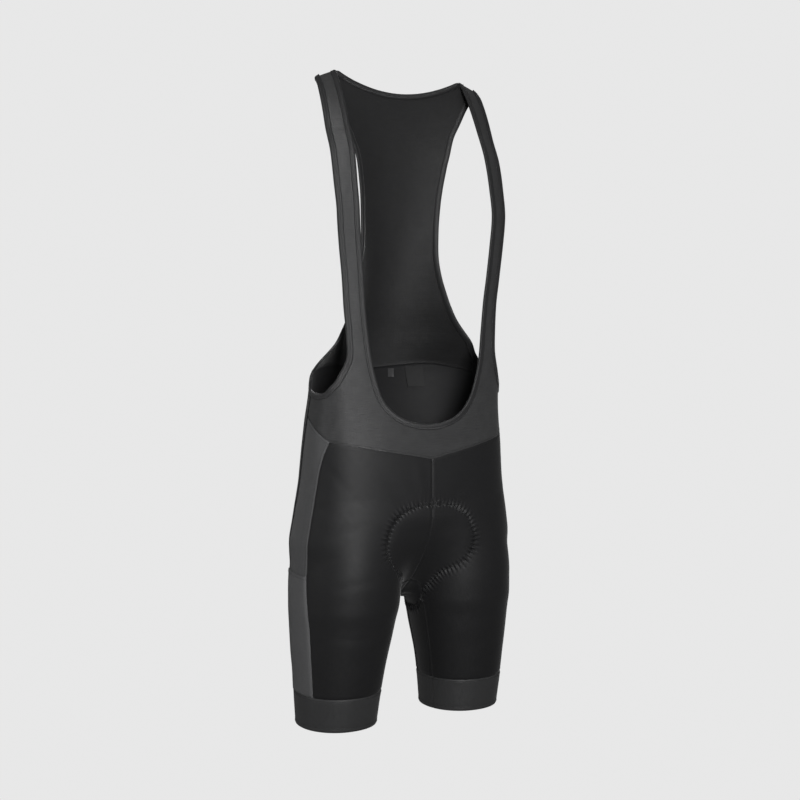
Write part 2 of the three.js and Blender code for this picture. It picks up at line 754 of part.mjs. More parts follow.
// A cloth sheet of any outline: its points, and the quads between them
class Sheet {
  constructor() {
    this.points = [];
    this.quads = [];
    this.moves = [];
  }

  add(point) {
    this.points.push(point);
    return this.points.length - 1;
  }

  patch(rows) {
    for (let r = 0; r < rows.length - 1; r += 1) {
      for (let c = 0; c < rows[r].length - 1; c += 1) {
        this.quads.push([rows[r][c], rows[r + 1][c], rows[r + 1][c + 1], rows[r][c + 1]]);
      }
    }
  }

  // Leaves room for a seam beside a point, by moving it towards its neighbour
  openSeam(point, neighbour) {
    this.moves.push([point, neighbour]);
  }

  solid(thickness) {
    const places = this.points.map(({ p }) => p.clone());
    this.moves.forEach(([point, neighbour]) => {
      const step = this.points[neighbour].p.clone().sub(this.points[point].p);
      places[point].addScaledVector(step.normalize(), SEAM_PULL);
    });
    const count = this.points.length;
    const inner = this.points.map(({ n, deep = 1 }, i) => (
      places[i].clone().addScaledVector(n, -thickness * deep)));
    const faces = [];
    const edges = new Map();
    this.quads.forEach((corners) => {
      const [a, b, c, d] = corners;
      faces.push(a, b, c, a, c, d);
      faces.push(c + count, b + count, a + count, d + count, c + count, a + count);
      corners.forEach((from, i) => {
        const to = corners[(i + 1) % 4];
        if (edges.has(`${to} ${from}`)) edges.delete(`${to} ${from}`);
        else edges.set(`${from} ${to}`, [from, to]);
      });
    });
    edges.forEach(([from, to]) => faces.push(to, from, from + count, to, from + count, to + count));
    return facingOut([...places, ...inner].flatMap((p) => [p.x, p.y, p.z]), faces);
  }
}

// Joins a half sheet to its mirror image along the middle
function wholeSheet(half) {
  const whole = new Sheet();
  half.points.forEach((point) => whole.add(point));
  const isMiddle = (point) => Math.abs(point.p.x) < 0.01;
  const twins = half.points.map((point, i) => (isMiddle(point) ? i : whole.add(flip(point))));
  whole.quads = [...half.quads, ...half.quads.map((quad) => [0, 3, 2, 1].map((i) => twins[quad[i]]))];
  const twinMoves = half.moves.filter(([i]) => twins[i] !== i).map((move) => move.map((i) => twins[i]));
  whole.moves = [...half.moves, ...twinMoves];
  return whole;
}

// The pad: each row starts on the middle line and walks out over the cloth to the side
function padSheet() {
  const sheet = new Sheet();
  const start = frontLine(PAD_TOP);
  const down = new THREE.Vector3(0, 0, -1);
  const sideways = new THREE.Vector3(1, 0, 0);
  sheet.patch(PAD_RUNS.map((run) => {
    const middle = walk(start, down, run);
    return Array.from({ length: PAD_COLUMNS + 1 }, (_, c) => {
      const { p, n } = c === 0 ? middle : walk(middle.p, sideways, PAD('halfWidth', run) * c / PAD_COLUMNS);
      const atEdge = c === PAD_COLUMNS || run === 0 || run === PAD_RUNS[PAD_RUNS.length - 1];
      return sheet.add({ p: p.addScaledVector(n, -CLOTH - PAD_GAP), n, deep: atEdge ? PAD_EDGE : 1 });
    });
  }));
  return sheet;
}

addPiece('seat_pad', wholeSheet(padSheet()).solid(PAD_CLOTH), PADDING);

// Edges above the waist, as places with a turn and a height
function alongPlaces(places) {
  const girth = 150;
  const points = places.map(({ turn, z }) => new THREE.Vector3(turn * girth, z, 0));
  const curve = new THREE.CatmullRomCurve3(points, false, 'centripetal');
  return (w) => {
    const at = curve.getPoint(w);
    return { turn: at.x / girth, z: at.y };
  };
}

function placesEvenly(places, count) {
  const placeAt = alongPlaces(places);
  const shares = evenly((w) => upperPlace(placeAt(w).turn, placeAt(w).z, -1), count);
  return shares.map((w) => placeAt(w));
}

// The place a rim's width in from an edge, square to it on the cloth
function rimPlaces(places, side) {
  return places.map((place, i) => {
    const before = places[Math.max(i - 1, 0)];
    const after = places[Math.min(i + 1, places.length - 1)];
    const d = 0.01;
    const at = (turn, z) => upperPlace(turn, z, -1);
    const tangent = at(after.turn, after.z).sub(at(before.turn, before.z)).normalize();
    const { n } = upperPoint(place.turn, place.z);
    const square = tangent.cross(n).multiplyScalar(side * RIM);
    const perTurn = at(place.turn + d, place.z).sub(at(place.turn - d, place.z)).divideScalar(2 * d);
    const perHeight = at(place.turn, place.z - 1).sub(at(place.turn, place.z - 2)).negate();
    const tt = perTurn.dot(perTurn);
    const hh = perHeight.dot(perHeight);
    const th = perTurn.dot(perHeight);
    const st = square.dot(perTurn);
    const sh = square.dot(perHeight);
    const scale = tt * hh - th * th;
    const z = place.z + (sh * tt - st * th) / scale;
    return { turn: place.turn + (st * hh - sh * th) / scale, z: Math.min(z, topHeightAt(place.turn)) };
  });
}

// The shoulder line falls towards the arm
function topHeightAt(turn) {
  const x = TRUNK('halfWidth', 0) * Math.sin(degrees(90 * (turn > 1 ? 2 - turn : turn)));
  return -shoulderDrop(x);
}

const placeOf = (point) => ({
  turn: turnOf(point.p.x, point.p.z, point.p.y > TRUNK('wideY', point.p.z)),
  z: point.p.z,
});
const frontPlace = (x, z) => ({ turn: turnOf(x, z, false), z });
const strapEdge = (name, top) => [top, ...STRAP_HEIGHTS].map((z) => frontPlace(STRAP(name, z), z));
const baseOnNeck = frontPlace(NECK_BASE.x, NECK_BASE.height);
const baseOnArmhole = ARMHOLE_CURVE[0];
const onFront = (list) => list.map(({ x, z }) => frontPlace(x, z));
const neckEdge = [
  ...placesEvenly([...strapEdge('innerX', 0), ...onFront(NECK_UPPER), baseOnNeck], STRAP_STEPS),
  ...placesEvenly([baseOnNeck, ...onFront(NECK_LOWER)], NECK_STEPS).slice(1),
];
const armholeEdge = [
  ...placesEvenly([...strapEdge('outerX', -SHOULDER_SLOPE), baseOnArmhole], STRAP_STEPS),
  ...placesEvenly([...ARMHOLE_CURVE, placeOf(backPanel[0][0])], ARMHOLE_STEPS).slice(1),
];

const neckRim = rimPlaces(neckEdge, NECK_SIDE);
const armholeRim = rimPlaces(armholeEdge, ARM_SIDE);
neckRim[0] = frontPlace(SHOULDER_INNER + RIM, -shoulderDrop(SHOULDER_INNER + RIM));
armholeRim[0] = frontPlace(SHOULDER_OUTER - RIM, -shoulderDrop(SHOULDER_OUTER - RIM));
neckRim[neckRim.length - 1] = frontPlace(0, neckEdge[neckEdge.length - 1].z - RIM);

// A mitred corner, where the front and the back meet over the shoulder
const overShoulder = (point) => ({ p: point.p, n: SHOULDER_UP, deep: SHOULDER_DEPTH });
const upperAt = ({ turn, z }) => upperPoint(turn, z);
const fromShoulder = (place, i) => (i === 0 ? overShoulder(upperAt(place)) : upperAt(place));

// The bib is one cloth: straps, the part under the neck and armholes, and a rim along each free edge
function bibSheet() {
  const sheet = new Sheet();
  const last = backPanel.slice(0, CORNER_ROWS + 1).map((row) => row[0]);
  const onSheet = (place, i) => sheet.add(fromShoulder(place, i));
  const neck = neckEdge.map(onSheet);
  const neckIn = neckRim.map(onSheet);
  const arm = armholeEdge.slice(0, -1).map(onSheet);
  const armIn = armholeRim.slice(0, -1).map(onSheet);
  const corner = last.map((point) => sheet.add(point));
  arm.push(corner[0]);
  armIn.push(corner[1]);
  sheet.patch([neckIn, neck]);
  sheet.patch([arm, armIn]);
  const strapRows = neckIn.slice(0, STRAP_STEPS + 1).map((start, row) => {
    const middles = Array.from({ length: STRAP_COLUMNS - 1 }, (_, i) => {
      const w = (i + 1) / STRAP_COLUMNS;
      const place = {
        turn: mix(neckRim[row].turn, armholeRim[row].turn, w),
        z: mix(neckRim[row].z, armholeRim[row].z, w),
      };
      return onSheet(place, row);
    });
    return [start, ...middles, armIn[row]];
  });
  sheet.patch(strapRows);

  const beltTop = [
    ...neckIn.slice(STRAP_STEPS).reverse(),
    ...strapRows[STRAP_STEPS].slice(1),
    ...armIn.slice(STRAP_STEPS + 1),
  ];
  const waist = [...frontPanel[0], ...sidePanel[0].slice(1)];
  const belt = [beltTop];
  for (let row = 1; row < CORNER_ROWS; row += 1) {
    const w = row / (CORNER_ROWS - 1);
    belt.push(waist.map((low, c) => {
      if (c === waist.length - 1) return corner[row + 1];
      if (row === CORNER_ROWS - 1) return sheet.add(low);
      const top = placeOf(sheet.points[beltTop[c]]);
      const bottom = placeOf(low);
      return sheet.add(upperPoint(mix(top.turn, bottom.turn, w), mix(top.z, bottom.z, w)));
    }));
  }
  sheet.patch(belt);
  const bottomRow = belt[belt.length - 1];
  bottomRow.forEach((point, c) => sheet.openSeam(point, belt[belt.length - 2][c]));
  corner.slice(1).forEach((point, row) => sheet.openSeam(point, belt[row][waist.length - 2]));
  sheet.openSeam(corner[0], arm[arm.length - 2]);
  return sheet;
}

const bib = bibSheet();
addPiece('front_bib', wholeSheet(bib).solid(CLOTH), GREY_KNIT);

// The back mesh hangs from the shoulders and the back neck down to its bottom seam
function neckTop(x) {
  if (x < SHOULDER_INNER - 1) return -NECK_BACK_DROP * Math.max(1 - (x / NECK_BACK_HALF) ** 2, 0);
  return -shoulderDrop(x);
}

const backPlace = (x, z) => ({ turn: turnOf(x, z, true), z });
const meshBottom = backPanel[0].slice(ARMHOLE_COLUMNS);
const meshEdge = placesEvenly(BACK_HEIGHTS.map((z) => backPlace(BACK_EDGE('x', z), z)), MESH_ROWS);
const meshRim = rimPlaces(meshEdge, MESH_SIDE);
const NECK_TAPE_START = 104;
const topXs = [SHOULDER_OUTER, SHOULDER_OUTER - RIM, SHOULDER_INNER, NECK_TAPE_START, 83, 62, 41, 20, 0];
const xOf = (place) => TRUNK('halfWidth', place.z) * Math.sin(degrees(90 * (2 - place.turn)));
const meshHalf = meshEdge.map((edge, row) => meshBottom.map((bottom, c) => {
  const w = row / MESH_ROWS;
  if (row === MESH_ROWS) return bottom;
  if (row === 0) {
    const point = upperAt(backPlace(topXs[c], neckTop(topXs[c])));
    return topXs[c] >= SHOULDER_INNER ? overShoulder(point) : point;
  }
  if (c === 0) return upperAt(edge);
  if (c === 1) return upperAt(meshRim[row]);
  const bottomShare = bottom.p.x / meshBottom[1].p.x;
  const share = mix(topXs[c] / topXs[1], bottomShare, w);
  const x = row === 1 ? topXs[c] : share * xOf(meshRim[row]);
  const middle = mix(-NECK_BACK_DROP - RIM, meshBottom[meshBottom.length - 1].p.z, (row - 1) / (MESH_ROWS - 1));
  const z = row === 1 ? neckTop(x) - RIM : mix(middle, meshRim[row].z, share ** 2);
  return upperAt(backPlace(x, z));
}));
const mesh = meshHalf.map((row) => [...row, ...row.slice(0, -1).reverse().map(flip)]);
const meshSheet = new Sheet();
const meshPlaces = meshHalf.map((row) => row.map((point) => meshSheet.add(point)));
meshSheet.patch(meshPlaces);
meshPlaces[MESH_ROWS].forEach((point, c) => meshSheet.openSeam(point, meshPlaces[MESH_ROWS - 1][c]));
addPiece('back_mesh', wholeSheet(meshSheet).solid(CLOTH), MESH_KNIT);

// The bindings fold round the free edges
const stations = (edges, inwards, crossed) => edges.map((edge, i) => ({ edge, inward: inwards[i], crossed }));
const flipStations = (list, crossed) => list.map((station) => ({
  edge: flip(station.edge),
  inward: flip(station.inward),
  crossed: crossed ?? station.crossed,
}));
const neckStations = stations(neckEdge.map(fromShoulder), neckRim.map(fromShoulder), true);
const neckLoop = [...neckStations.slice(0, -1), ...flipStations(neckStations, false).reverse()];
addPiece('neck_binding_front', folded(neckLoop), TAPE);
const neckStart = topXs.indexOf(NECK_TAPE_START);
const neckColumns = mesh[0].length - 2 * neckStart;
const neckRow = (row) => mesh[row].slice(neckStart, neckStart + neckColumns);
const neckBack = stations(neckRow(0), neckRow(1), false)
  .map((station, i) => ({ ...station, crossed: i >= (neckColumns - 1) / 2 }));
addPiece('neck_binding_back', folded(neckBack), TAPE);
const SHORT_OF_CORNER = 0.08;
const justAbove = between(meshHalf[MESH_ROWS][0], meshHalf[MESH_ROWS - 1][0], SHORT_OF_CORNER);
const meshRun = [...meshHalf.slice(0, -1).map((row) => row[0]), justAbove];
const backPanelCorner = backPanel.slice(0, 2).map((row) => row.slice(0, ARMHOLE_COLUMNS + 1));
const armholeStations = [
  ...stations(
    armholeEdge.slice(0, -1).map(fromShoulder),
    armholeRim.slice(0, -1).map(fromShoulder),
    false,
  ),
  ...stations(backPanelCorner[0], backPanelCorner[1], false),
  ...stations(meshRun, meshHalf.map((row) => row[1]), true).reverse(),
];
addPiece('armhole_binding_right', folded(armholeStations), TAPE);
addPiece('armhole_binding_left', folded(flipStations(armholeStations)), TAPE);

export default group;
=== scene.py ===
import math
import bpy
import numpy as np
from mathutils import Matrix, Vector
from mathutils.kdtree import KDTree


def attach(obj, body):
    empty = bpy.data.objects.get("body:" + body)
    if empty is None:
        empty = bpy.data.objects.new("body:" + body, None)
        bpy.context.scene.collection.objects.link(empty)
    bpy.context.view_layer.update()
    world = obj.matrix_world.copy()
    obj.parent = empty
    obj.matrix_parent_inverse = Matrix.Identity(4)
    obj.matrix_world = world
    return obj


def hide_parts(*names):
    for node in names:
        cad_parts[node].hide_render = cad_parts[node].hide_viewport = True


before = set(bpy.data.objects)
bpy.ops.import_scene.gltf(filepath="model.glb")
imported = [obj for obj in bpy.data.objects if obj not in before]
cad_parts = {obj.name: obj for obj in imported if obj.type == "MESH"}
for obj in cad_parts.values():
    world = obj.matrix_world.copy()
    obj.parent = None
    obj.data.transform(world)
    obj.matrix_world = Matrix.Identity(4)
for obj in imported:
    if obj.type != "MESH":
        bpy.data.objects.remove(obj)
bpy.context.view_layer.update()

# The studio: a pale seamless floor and wall, a soft key light near the camera and weak fill light.
# The garment hangs as it is worn, level with the camera, and nothing stands under it.

CAMERA_PLACE = (-1.0623, -1.7533, -0.360)
CAMERA_TURN = math.radians(-31)
CAMERA_LENS = 61.5
FRAME_DROP = -0.106
FLOOR_LEVEL = -1.35
PALE = (0.805, 0.805, 0.805, 1)
WORLD_GLOW = 0.14
LIGHT_MIDDLE = (0, 0, -0.5)
LIGHTS = [
    # name, azimuth, elevation, distance, size, power, spread
    ("key", -20, 12, 2.2, (0.5, 0.5), 5.2, 56),
    ("top_front", -20, 55, 3.0, (1.2, 0.9), 10, 180),
    ("side_fill", -98, 12, 3.0, (1.2, 2.2), 15, 180),
    ("back_fill", 160, 30, 3.0, (1.6, 1.6), 30, 180),
]


def add_camera():
    data = bpy.data.cameras.new("photo_view")
    data.lens = CAMERA_LENS
    data.sensor_width = 36
    data.shift_y = FRAME_DROP
    camera = bpy.data.objects.new("photo_view", data)
    camera.location = CAMERA_PLACE
    camera.rotation_euler = (math.pi / 2, 0, CAMERA_TURN)
    bpy.context.collection.objects.link(camera)
    bpy.context.scene.camera = camera


def add_backdrop():
    steps = 24
    sides = 96
    radius = 1.2
    reach = 9.0
    profile = [(-reach, FLOOR_LEVEL)]
    profile += [(reach - radius + radius * math.sin(a), FLOOR_LEVEL + radius - radius * math.cos(a))
                for a in np.linspace(0, math.pi / 2, steps)]
    profile.append((reach, reach))
    rim = [(math.cos(a), math.sin(a)) for a in np.linspace(0, 2 * math.pi, sides + 1)[:-1]]
    points = [(0, 0, FLOOR_LEVEL)]
    points += [(c * r, s * r, z) for r, z in profile[1:] for c, s in rim]
    faces = [(0, 1 + i, 1 + (i + 1) % sides) for i in range(sides)]
    for row in range(len(profile) - 2):
        a, b = 1 + row * sides, 1 + (row + 1) * sides
        faces += [(a + i, b + i, b + (i + 1) % sides, a + (i + 1) % sides) for i in range(sides)]
    mesh = bpy.data.meshes.new("backdrop")
    mesh.from_pydata(points, [], faces)
    mesh.polygons.foreach_set("use_smooth", [True] * len(mesh.polygons))
    backdrop = bpy.data.objects.new("backdrop", mesh)
    bpy.context.collection.objects.link(backdrop)
    material = bpy.data.materials.new("pale_paper")
    material.use_nodes = True
    nodes = material.node_tree.nodes
    nodes.clear()
    glow = nodes.new("ShaderNodeEmission")
    glow.inputs["Color"].default_value = PALE
    glow.inputs["Strength"].default_value = 1
    output = nodes.new("ShaderNodeOutputMaterial")
    material.node_tree.links.new(glow.outputs[0], output.inputs["Surface"])
    mesh.materials.append(material)
    backdrop.visible_diffuse = False
    backdrop.visible_glossy = False
    backdrop.visible_shadow = False


def add_light(name, azimuth, elevation, distance, size, power, spread):
    turn, rise = math.radians(azimuth), math.radians(elevation)
    away = Vector((math.sin(turn) * math.cos(rise), -math.cos(turn) * math.cos(rise), math.sin(rise)))
    data = bpy.data.lights.new(name, "AREA")
    data.shape = "RECTANGLE"
    data.size, data.size_y = size
    data.energy = power
    data.spread = math.radians(spread)
    light = bpy.data.objects.new(name, data)
    light.location = Vector(LIGHT_MIDDLE) + away * distance
    light.rotation_euler = away.to_track_quat("Z", "Y").to_euler()
    bpy.context.collection.objects.link(light)


def add_world(strength):
    world = bpy.data.worlds.new("studio")
    bpy.context.scene.world = world
    world.use_nodes = True
    ground = world.node_tree.nodes["Background"]
    ground.inputs["Color"].default_value = (1, 1, 1, 1)
    ground.inputs["Strength"].default_value = strength


bpy.context.scene.view_settings.view_transform = "Standard"
add_camera()
add_backdrop()
add_world(WORLD_GLOW)
for light in LIGHTS:
    add_light(*light)

# The lower body: two front, two side and two back panels and a gusset in each leg, cut from stretch
# knit and joined with flat seams. It is worked out in millimetres, as the garment filled out by a
# plain figure, and every mesh is written in metres.

MM = 0.001
CLOTH = 1.4
SHOULDER_INNER = 110
SHOULDER_OUTER = 142
SHOULDER_SLOPE = 13
NECK_BACK_DROP = 26
NECK_BACK_HALF = 106
V_POINT = -569
SIDE_POINT = -541
WAIST_SIDE = -508
ARMHOLE_SIDE = -470
RIM = 8.4
BAND_TOP = -908
HEM = -957
CROTCH_LEVEL = -757
GUSSET_FRONT_Y = -16
GUSSET_BACK_Y = 78
GUSSET_FRONT_ANGLE = -72
GUSSET_BACK_ANGLE = -112
CORE_Y = 26
CORE_LEVEL = -700
LEG_START = -600
BLEND = 34
TRUNK_END = -777
SEAM_MIDDLE = -441
FRONT_BEND = 0.75
GUSSET_BEND = 1.7


def curve_table(columns, rows):
    """Reads a table whose first column rises or falls steadily, smoothly between its rows."""
    data = np.array(rows, float)
    sign = 1 if data[1, 0] > data[0, 0] else -1
    keys = data[:, 0] * sign
    steps = np.diff(data[:, 1:], axis=0) / np.diff(keys)[:, None]
    slopes = np.zeros_like(data[:, 1:])
    slopes[0], slopes[-1] = steps[0], steps[-1]
    a, b = steps[:-1], steps[1:]
    same = a * b > 0
    slopes[1:-1][same] = 2 * a[same] * b[same] / (a[same] + b[same])

    def read(name, key):
        column = columns.index(name) - 1
        k = np.clip(np.asarray(key, float) * sign, keys[0], keys[-1])
        low = np.clip(np.searchsorted(keys, k, side="right") - 1, 0, len(keys) - 2)
        width = keys[low + 1] - keys[low]
        w = (k - keys[low]) / width
        rise = w * w * (3 - 2 * w)
        value = data[:, column + 1]
        slope = slopes[:, column]
        start = w * (1 - w) ** 2 * width
        end = w * w * (w - 1) * width
        return value[low] * (1 - rise) + value[low + 1] * rise + slope[low] * start + slope[low + 1] * end

    return read


TRUNK = curve_table(["height", "halfWidth", "wideY", "frontY", "backY"], [
    [0, 190, 18.4, 18.2, 18.6],
    [-14, 187, 9, 6, 22.5],
    [-78, 175, 13, -35, 25],
    [-124, 170, -3, -57, 22],
    [-169, 167, -14, -68, 25],
    [-214, 165, -22, -75, 31],
    [-258, 160, -23, -73, 40],
    [-301, 155, -22, -71, 52],
    [-345, 150, -22, -67, 66],
    [-389, 148, -26, -66, 84],
    [-421, 150, -25, -67, 94],
    [-450, 153, -14, -68, 101],
    [-480, 154, -8, -68, 107],
    [-520, 157, -1, -72, 114],
    [-560, 159.5, 0, -76, 124],
    [-600, 161.5, 0, -77, 134],
    [-650, 167, 1, -76, 141],
    [-680, 165, 1, -68, 142],
    [-705, 158, 3, -54, 139],
    [-728, 144, 6, -35, 126],
    [-748, 116, 14, -14, 102],
    [-762, 84, 20, 4, 74],
    [-771, 50, 24, 14, 50],
    [-777, 20, 25, 19, 34],
])
FRONT_POWER = 2.5
BACK_POWER = 2.2
LEG = curve_table(["height", "middleX", "middleY", "halfWidth", "halfDepth"], [
    [-600, 82, 8, 20, 24],
    [-640, 86, 9, 58, 62],
    [-700, 92, 11, 80, 86],
    [-740, 96, 11, 80, 88],
    [-780, 98, 11, 79, 85],
    [-808, 100, 13, 75.5, 81],
    [-831, 101.6, 14, 72.5, 78],
    [-853, 103.3, 14.6, 69.5, 74],
    [-876, 104.6, 15.1, 66, 70.5],
    [-900, 105.7, 16.2, 63.5, 67],
    [-924, 106.6, 17.8, 61, 64],
    [-957, 106.8, 20, 58, 60],
])
LEG_POWER = 2.1
ROW_MIDDLE = curve_table(["height", "middleX", "middleY"], [
    [-430, 66, 12],
    [-569, 80, 10],
    [-700, 92, 11],
    [-780, 98, 11],
    [-900, 105.7, 16.2],
    [-957, 106.8, 20],
])
SIDE_SEAMS = curve_table(["height", "front", "back"], [
    [-470, 50, 91],
    [-508, 52, 96],
    [-541, 57, 102],
    [-573, 65, 107],
    [-611, 69, 112],
    [-680, 71.5, 115],
    [-735, 73, 117],
    [-766, 71, 117],
    [-802, 68, 117],
    [-852, 65, 117],
    [-908, 62, 117],
])
BACK_SEAM = curve_table(["x", "height"], [
    [0, SEAM_MIDDLE],
    [45, -437],
    [85, -434],
    [120, -439],
    [148, -450],
    [152, -459],
    [155, ARMHOLE_SIDE],
])


def mix(a, b, w):
    return a + (b - a) * w


def fade_out(distance, width):
    """One at no distance, and fading away over a width."""
    return np.exp(-(distance / width) ** 2)


def smooth_step(start, end, value):
    w = np.clip((value - start) / (end - start), 0, 1)
    return w * w * (3 - 2 * w)


def outside(x, y, half_width, depth, power):
    size = (np.abs(x / half_width) ** power + np.abs(y / depth) ** power) ** (1 / power)
    return np.hypot(x, y) * (1 - 1 / np.maximum(size, 1e-6))


def outside_trunk(x, y, z):
    wide = TRUNK("wideY", z)
    front = y < wide
    depth = np.maximum(np.abs(np.where(front, TRUNK("frontY", z), TRUNK("backY", z)) - wide), 1)
    half = TRUNK("halfWidth", z)
    ahead = outside(x, y - wide, half, depth, FRONT_POWER)
    behind = outside(x, y - wide, half, depth, BACK_POWER)
    return np.where(front, ahead, behind)


def outside_leg(x, y, z):
    dx, dy = x - LEG("middleX", z), y - LEG("middleY", z)
    return outside(dx, dy, LEG("halfWidth", z), LEG("halfDepth", z), LEG_POWER)


def blend(a, b):
    near = np.maximum(BLEND - np.abs(a - b), 0) / BLEND
    return np.minimum(a, b) - near * near * BLEND / 4


def outside_body(p):
    """The whole body below the armholes: negative inside."""
    x, y, z = p[..., 0], p[..., 1], p[..., 2]
    trunk = outside_trunk(x, y, z) + np.maximum(TRUNK_END - z, 0) * 2
    legs = blend(outside_leg(x, y, z), outside_leg(-x, y, z))
    return np.where(z > LEG_START, trunk, blend(trunk, legs))


def unit(v):
    return v / np.maximum(np.linalg.norm(v, axis=-1, keepdims=True), 1e-9)


def body_slope(p):
    d = 0.5
    steps = [outside_body(p + d * axis) - outside_body(p - d * axis) for axis in np.eye(3)]
    return np.stack(steps, -1) / (2 * d)


def surface_along(start, direction):
    """Goes from inside the body along a direction, and stops on its surface."""
    step = 6.0
    most_steps = 80
    halvings = 26
    inner = np.zeros(len(start))
    outer = np.full(len(start), step)
    for _ in range(most_steps):
        inside = outside_body(start + direction * outer[:, None]) < 0
        if not inside.any():
            break
        inner = np.where(inside, outer, inner)
        outer = np.where(inside, outer + step, outer)
    for _ in range(halvings):
        middle = (inner + outer) / 2
        inside = outside_body(start + direction * middle[:, None]) < 0
        inner = np.where(inside, middle, inner)
        outer = np.where(inside, outer, middle)
    return start + direction * outer[:, None]


def onto_body(points):
    """Moves points square to the body until they lie on it."""
    p = points.copy()
    for _ in range(5):
        slope = body_slope(p)
        p -= slope * (outside_body(p) / np.maximum((slope ** 2).sum(-1), 1e-6))[..., None]
    return p


def lower_points(angles, heights):
    """Points of the right half below the armholes, by the angle round the leg and the height."""
    turn = np.radians(np.atleast_1d(np.asarray(angles, float)))
    z = np.broadcast_to(np.atleast_1d(np.asarray(heights, float)), turn.shape)
    start = np.stack([-ROW_MIDDLE("middleX", z), ROW_MIDDLE("middleY", z), z], -1)
    return surface_along(start, np.stack([-np.sin(turn), -np.cos(turn), np.zeros_like(turn)], -1))


def along_line(y, z, direction):
    y, z = np.broadcast_arrays(np.atleast_1d(np.asarray(y, float)), np.atleast_1d(np.asarray(z, float)))
    start = np.stack([np.zeros(y.shape), y, z], -1)
    return surface_along(start, np.broadcast_to(np.array(direction, float), start.shape))


def front_line(z):
    return along_line(CORE_Y, z, (0, -1, 0))


def back_line(z):
    return along_line(CORE_Y, z, (0, 1, 0))


def crotch_line(y):
    return along_line(y, CORE_LEVEL, (0, 0, -1))


def seam_place(p):
    dx = p[0] + ROW_MIDDLE("middleX", p[2])
    dy = p[1] - ROW_MIDDLE("middleY", p[2])
    return math.degrees(math.atan2(-dx, -dy)), p[2]


def run_lengths(points):
    return np.concatenate([[0], np.cumsum(np.linalg.norm(np.diff(points, axis=0), axis=1))])


def evenly(points_at, count):
    """Shares that divide a curve evenly by length."""
    shares = np.linspace(0, 1, 61)
    lengths = run_lengths(points_at(shares))
    return np.interp(np.linspace(0, lengths[-1], count + 1), lengths, shares)


def centre_seam(line, top, bottom, count):
    bend = 2.2

    def points_at(w):
        return line(mix(top, bottom, 1 - (1 - w) ** bend))

    return [seam_place(point) for point in points_at(evenly(points_at, count))]


UPPER_ROWS = 10
LEG_ROWS = 6
CORNER_ROWS = 3
FRONT_COLUMNS = 7
SIDE_COLUMNS = 3
GUSSET_COLUMNS = 4
BACK_SHARES = [0, 0.068, 0.118, 0.24, 0.36, 0.49, 0.62, 0.75, 0.88, 1]
FULL_TURN = 360


def down_seam(name, top, bottom, count):
    return [(float(SIDE_SEAMS(name, z)), z) for z in np.linspace(top, bottom, count + 1)]


def gusset_column(share):
    angle, top = seam_place(crotch_line(mix(GUSSET_FRONT_Y, GUSSET_BACK_Y, share))[0])
    if angle > 0:
        angle -= FULL_TURN
    end = mix(GUSSET_FRONT_ANGLE, GUSSET_BACK_ANGLE, share)
    shares = np.linspace(0, 1, LEG_ROWS + 1)
    angles = [float(mix(angle, end, smooth_step(0, 0.5, w))) for w in shares]
    return list(zip(angles, mix(top, BAND_TOP, shares ** GUSSET_BEND)))


def panel_between(first, second, columns, bend=1):
    rows = []
    for (angle_a, z_a), (angle_b, z_b) in zip(first, second):
        w = np.linspace(0, 1, columns + 1)
        rows.append(lower_points(mix(angle_a, angle_b, w), mix(z_a, z_b, w ** bend)))
    return np.array(rows)


gusset_seams = [gusset_column(i / GUSSET_COLUMNS) for i in range(GUSSET_COLUMNS + 1)]
front_centre = centre_seam(front_line, V_POINT, crotch_line(GUSSET_FRONT_Y)[0, 2], UPPER_ROWS)
front_inner = front_centre[:-1] + gusset_seams[0]
front_outer = down_seam("front", SIDE_POINT, CROTCH_LEVEL, UPPER_ROWS)[:-1]
front_outer += down_seam("front", CROTCH_LEVEL, BAND_TOP, LEG_ROWS)
side_outer = down_seam("back", WAIST_SIDE, CROTCH_LEVEL, UPPER_ROWS)[:-1]
side_outer += down_seam("back", CROTCH_LEVEL, BAND_TOP, LEG_ROWS)
corner_heights = [ARMHOLE_SIDE, ARMHOLE_SIDE - RIM, (ARMHOLE_SIDE - RIM + WAIST_SIDE) / 2]
back_outer = [(float(SIDE_SEAMS("back", z)), z) for z in corner_heights] + side_outer
back_centre = centre_seam(back_line, SEAM_MIDDLE, crotch_line(GUSSET_BACK_Y)[0, 2], UPPER_ROWS + CORNER_ROWS)
back_inner = [((angle + FULL_TURN) % FULL_TURN, z) for angle, z in back_centre[:-1]]
back_inner += [(angle + FULL_TURN, z) for angle, z in gusset_seams[-1]]


def seam_height(angle):
    z = float(SEAM_MIDDLE)
    for _ in range(6):
        z = float(BACK_SEAM("height", abs(lower_points(angle, z)[0, 0])))
    return z


def back_panel_rows():
    """The back panel's top follows the armhole and the bottom seam of the mesh."""
    last = len(back_outer) - 1
    shares = np.array(BACK_SHARES)
    even = np.linspace(0, 1, len(BACK_SHARES))
    tops = mix(back_outer[0][0], back_inner[0][0], shares)
    top_heights = np.array([ARMHOLE_SIDE] + [seam_height(angle) for angle in tops[1:]])
    rows = []
    for row, ((angle_a, z_a), (angle_b, z_b)) in enumerate(zip(back_outer, back_inner)):
        if row < 2:
            middle = seam_place(back_line(SEAM_MIDDLE - RIM * row)[0])[0] % FULL_TURN
            rows.append(lower_points(mix(back_outer[0][0], middle, shares), top_heights - RIM * row))
            continue
        angles = mix(angle_a, angle_b, mix(shares, even, row / last))
        plain_top = mix(back_outer[0][1], back_inner[0][1], even)
        fade = max(1 - row / UPPER_ROWS, 0) ** 2
        rows.append(lower_points(angles, mix(z_a, z_b, even) + (top_heights - plain_top) * fade))
    return np.array(rows)


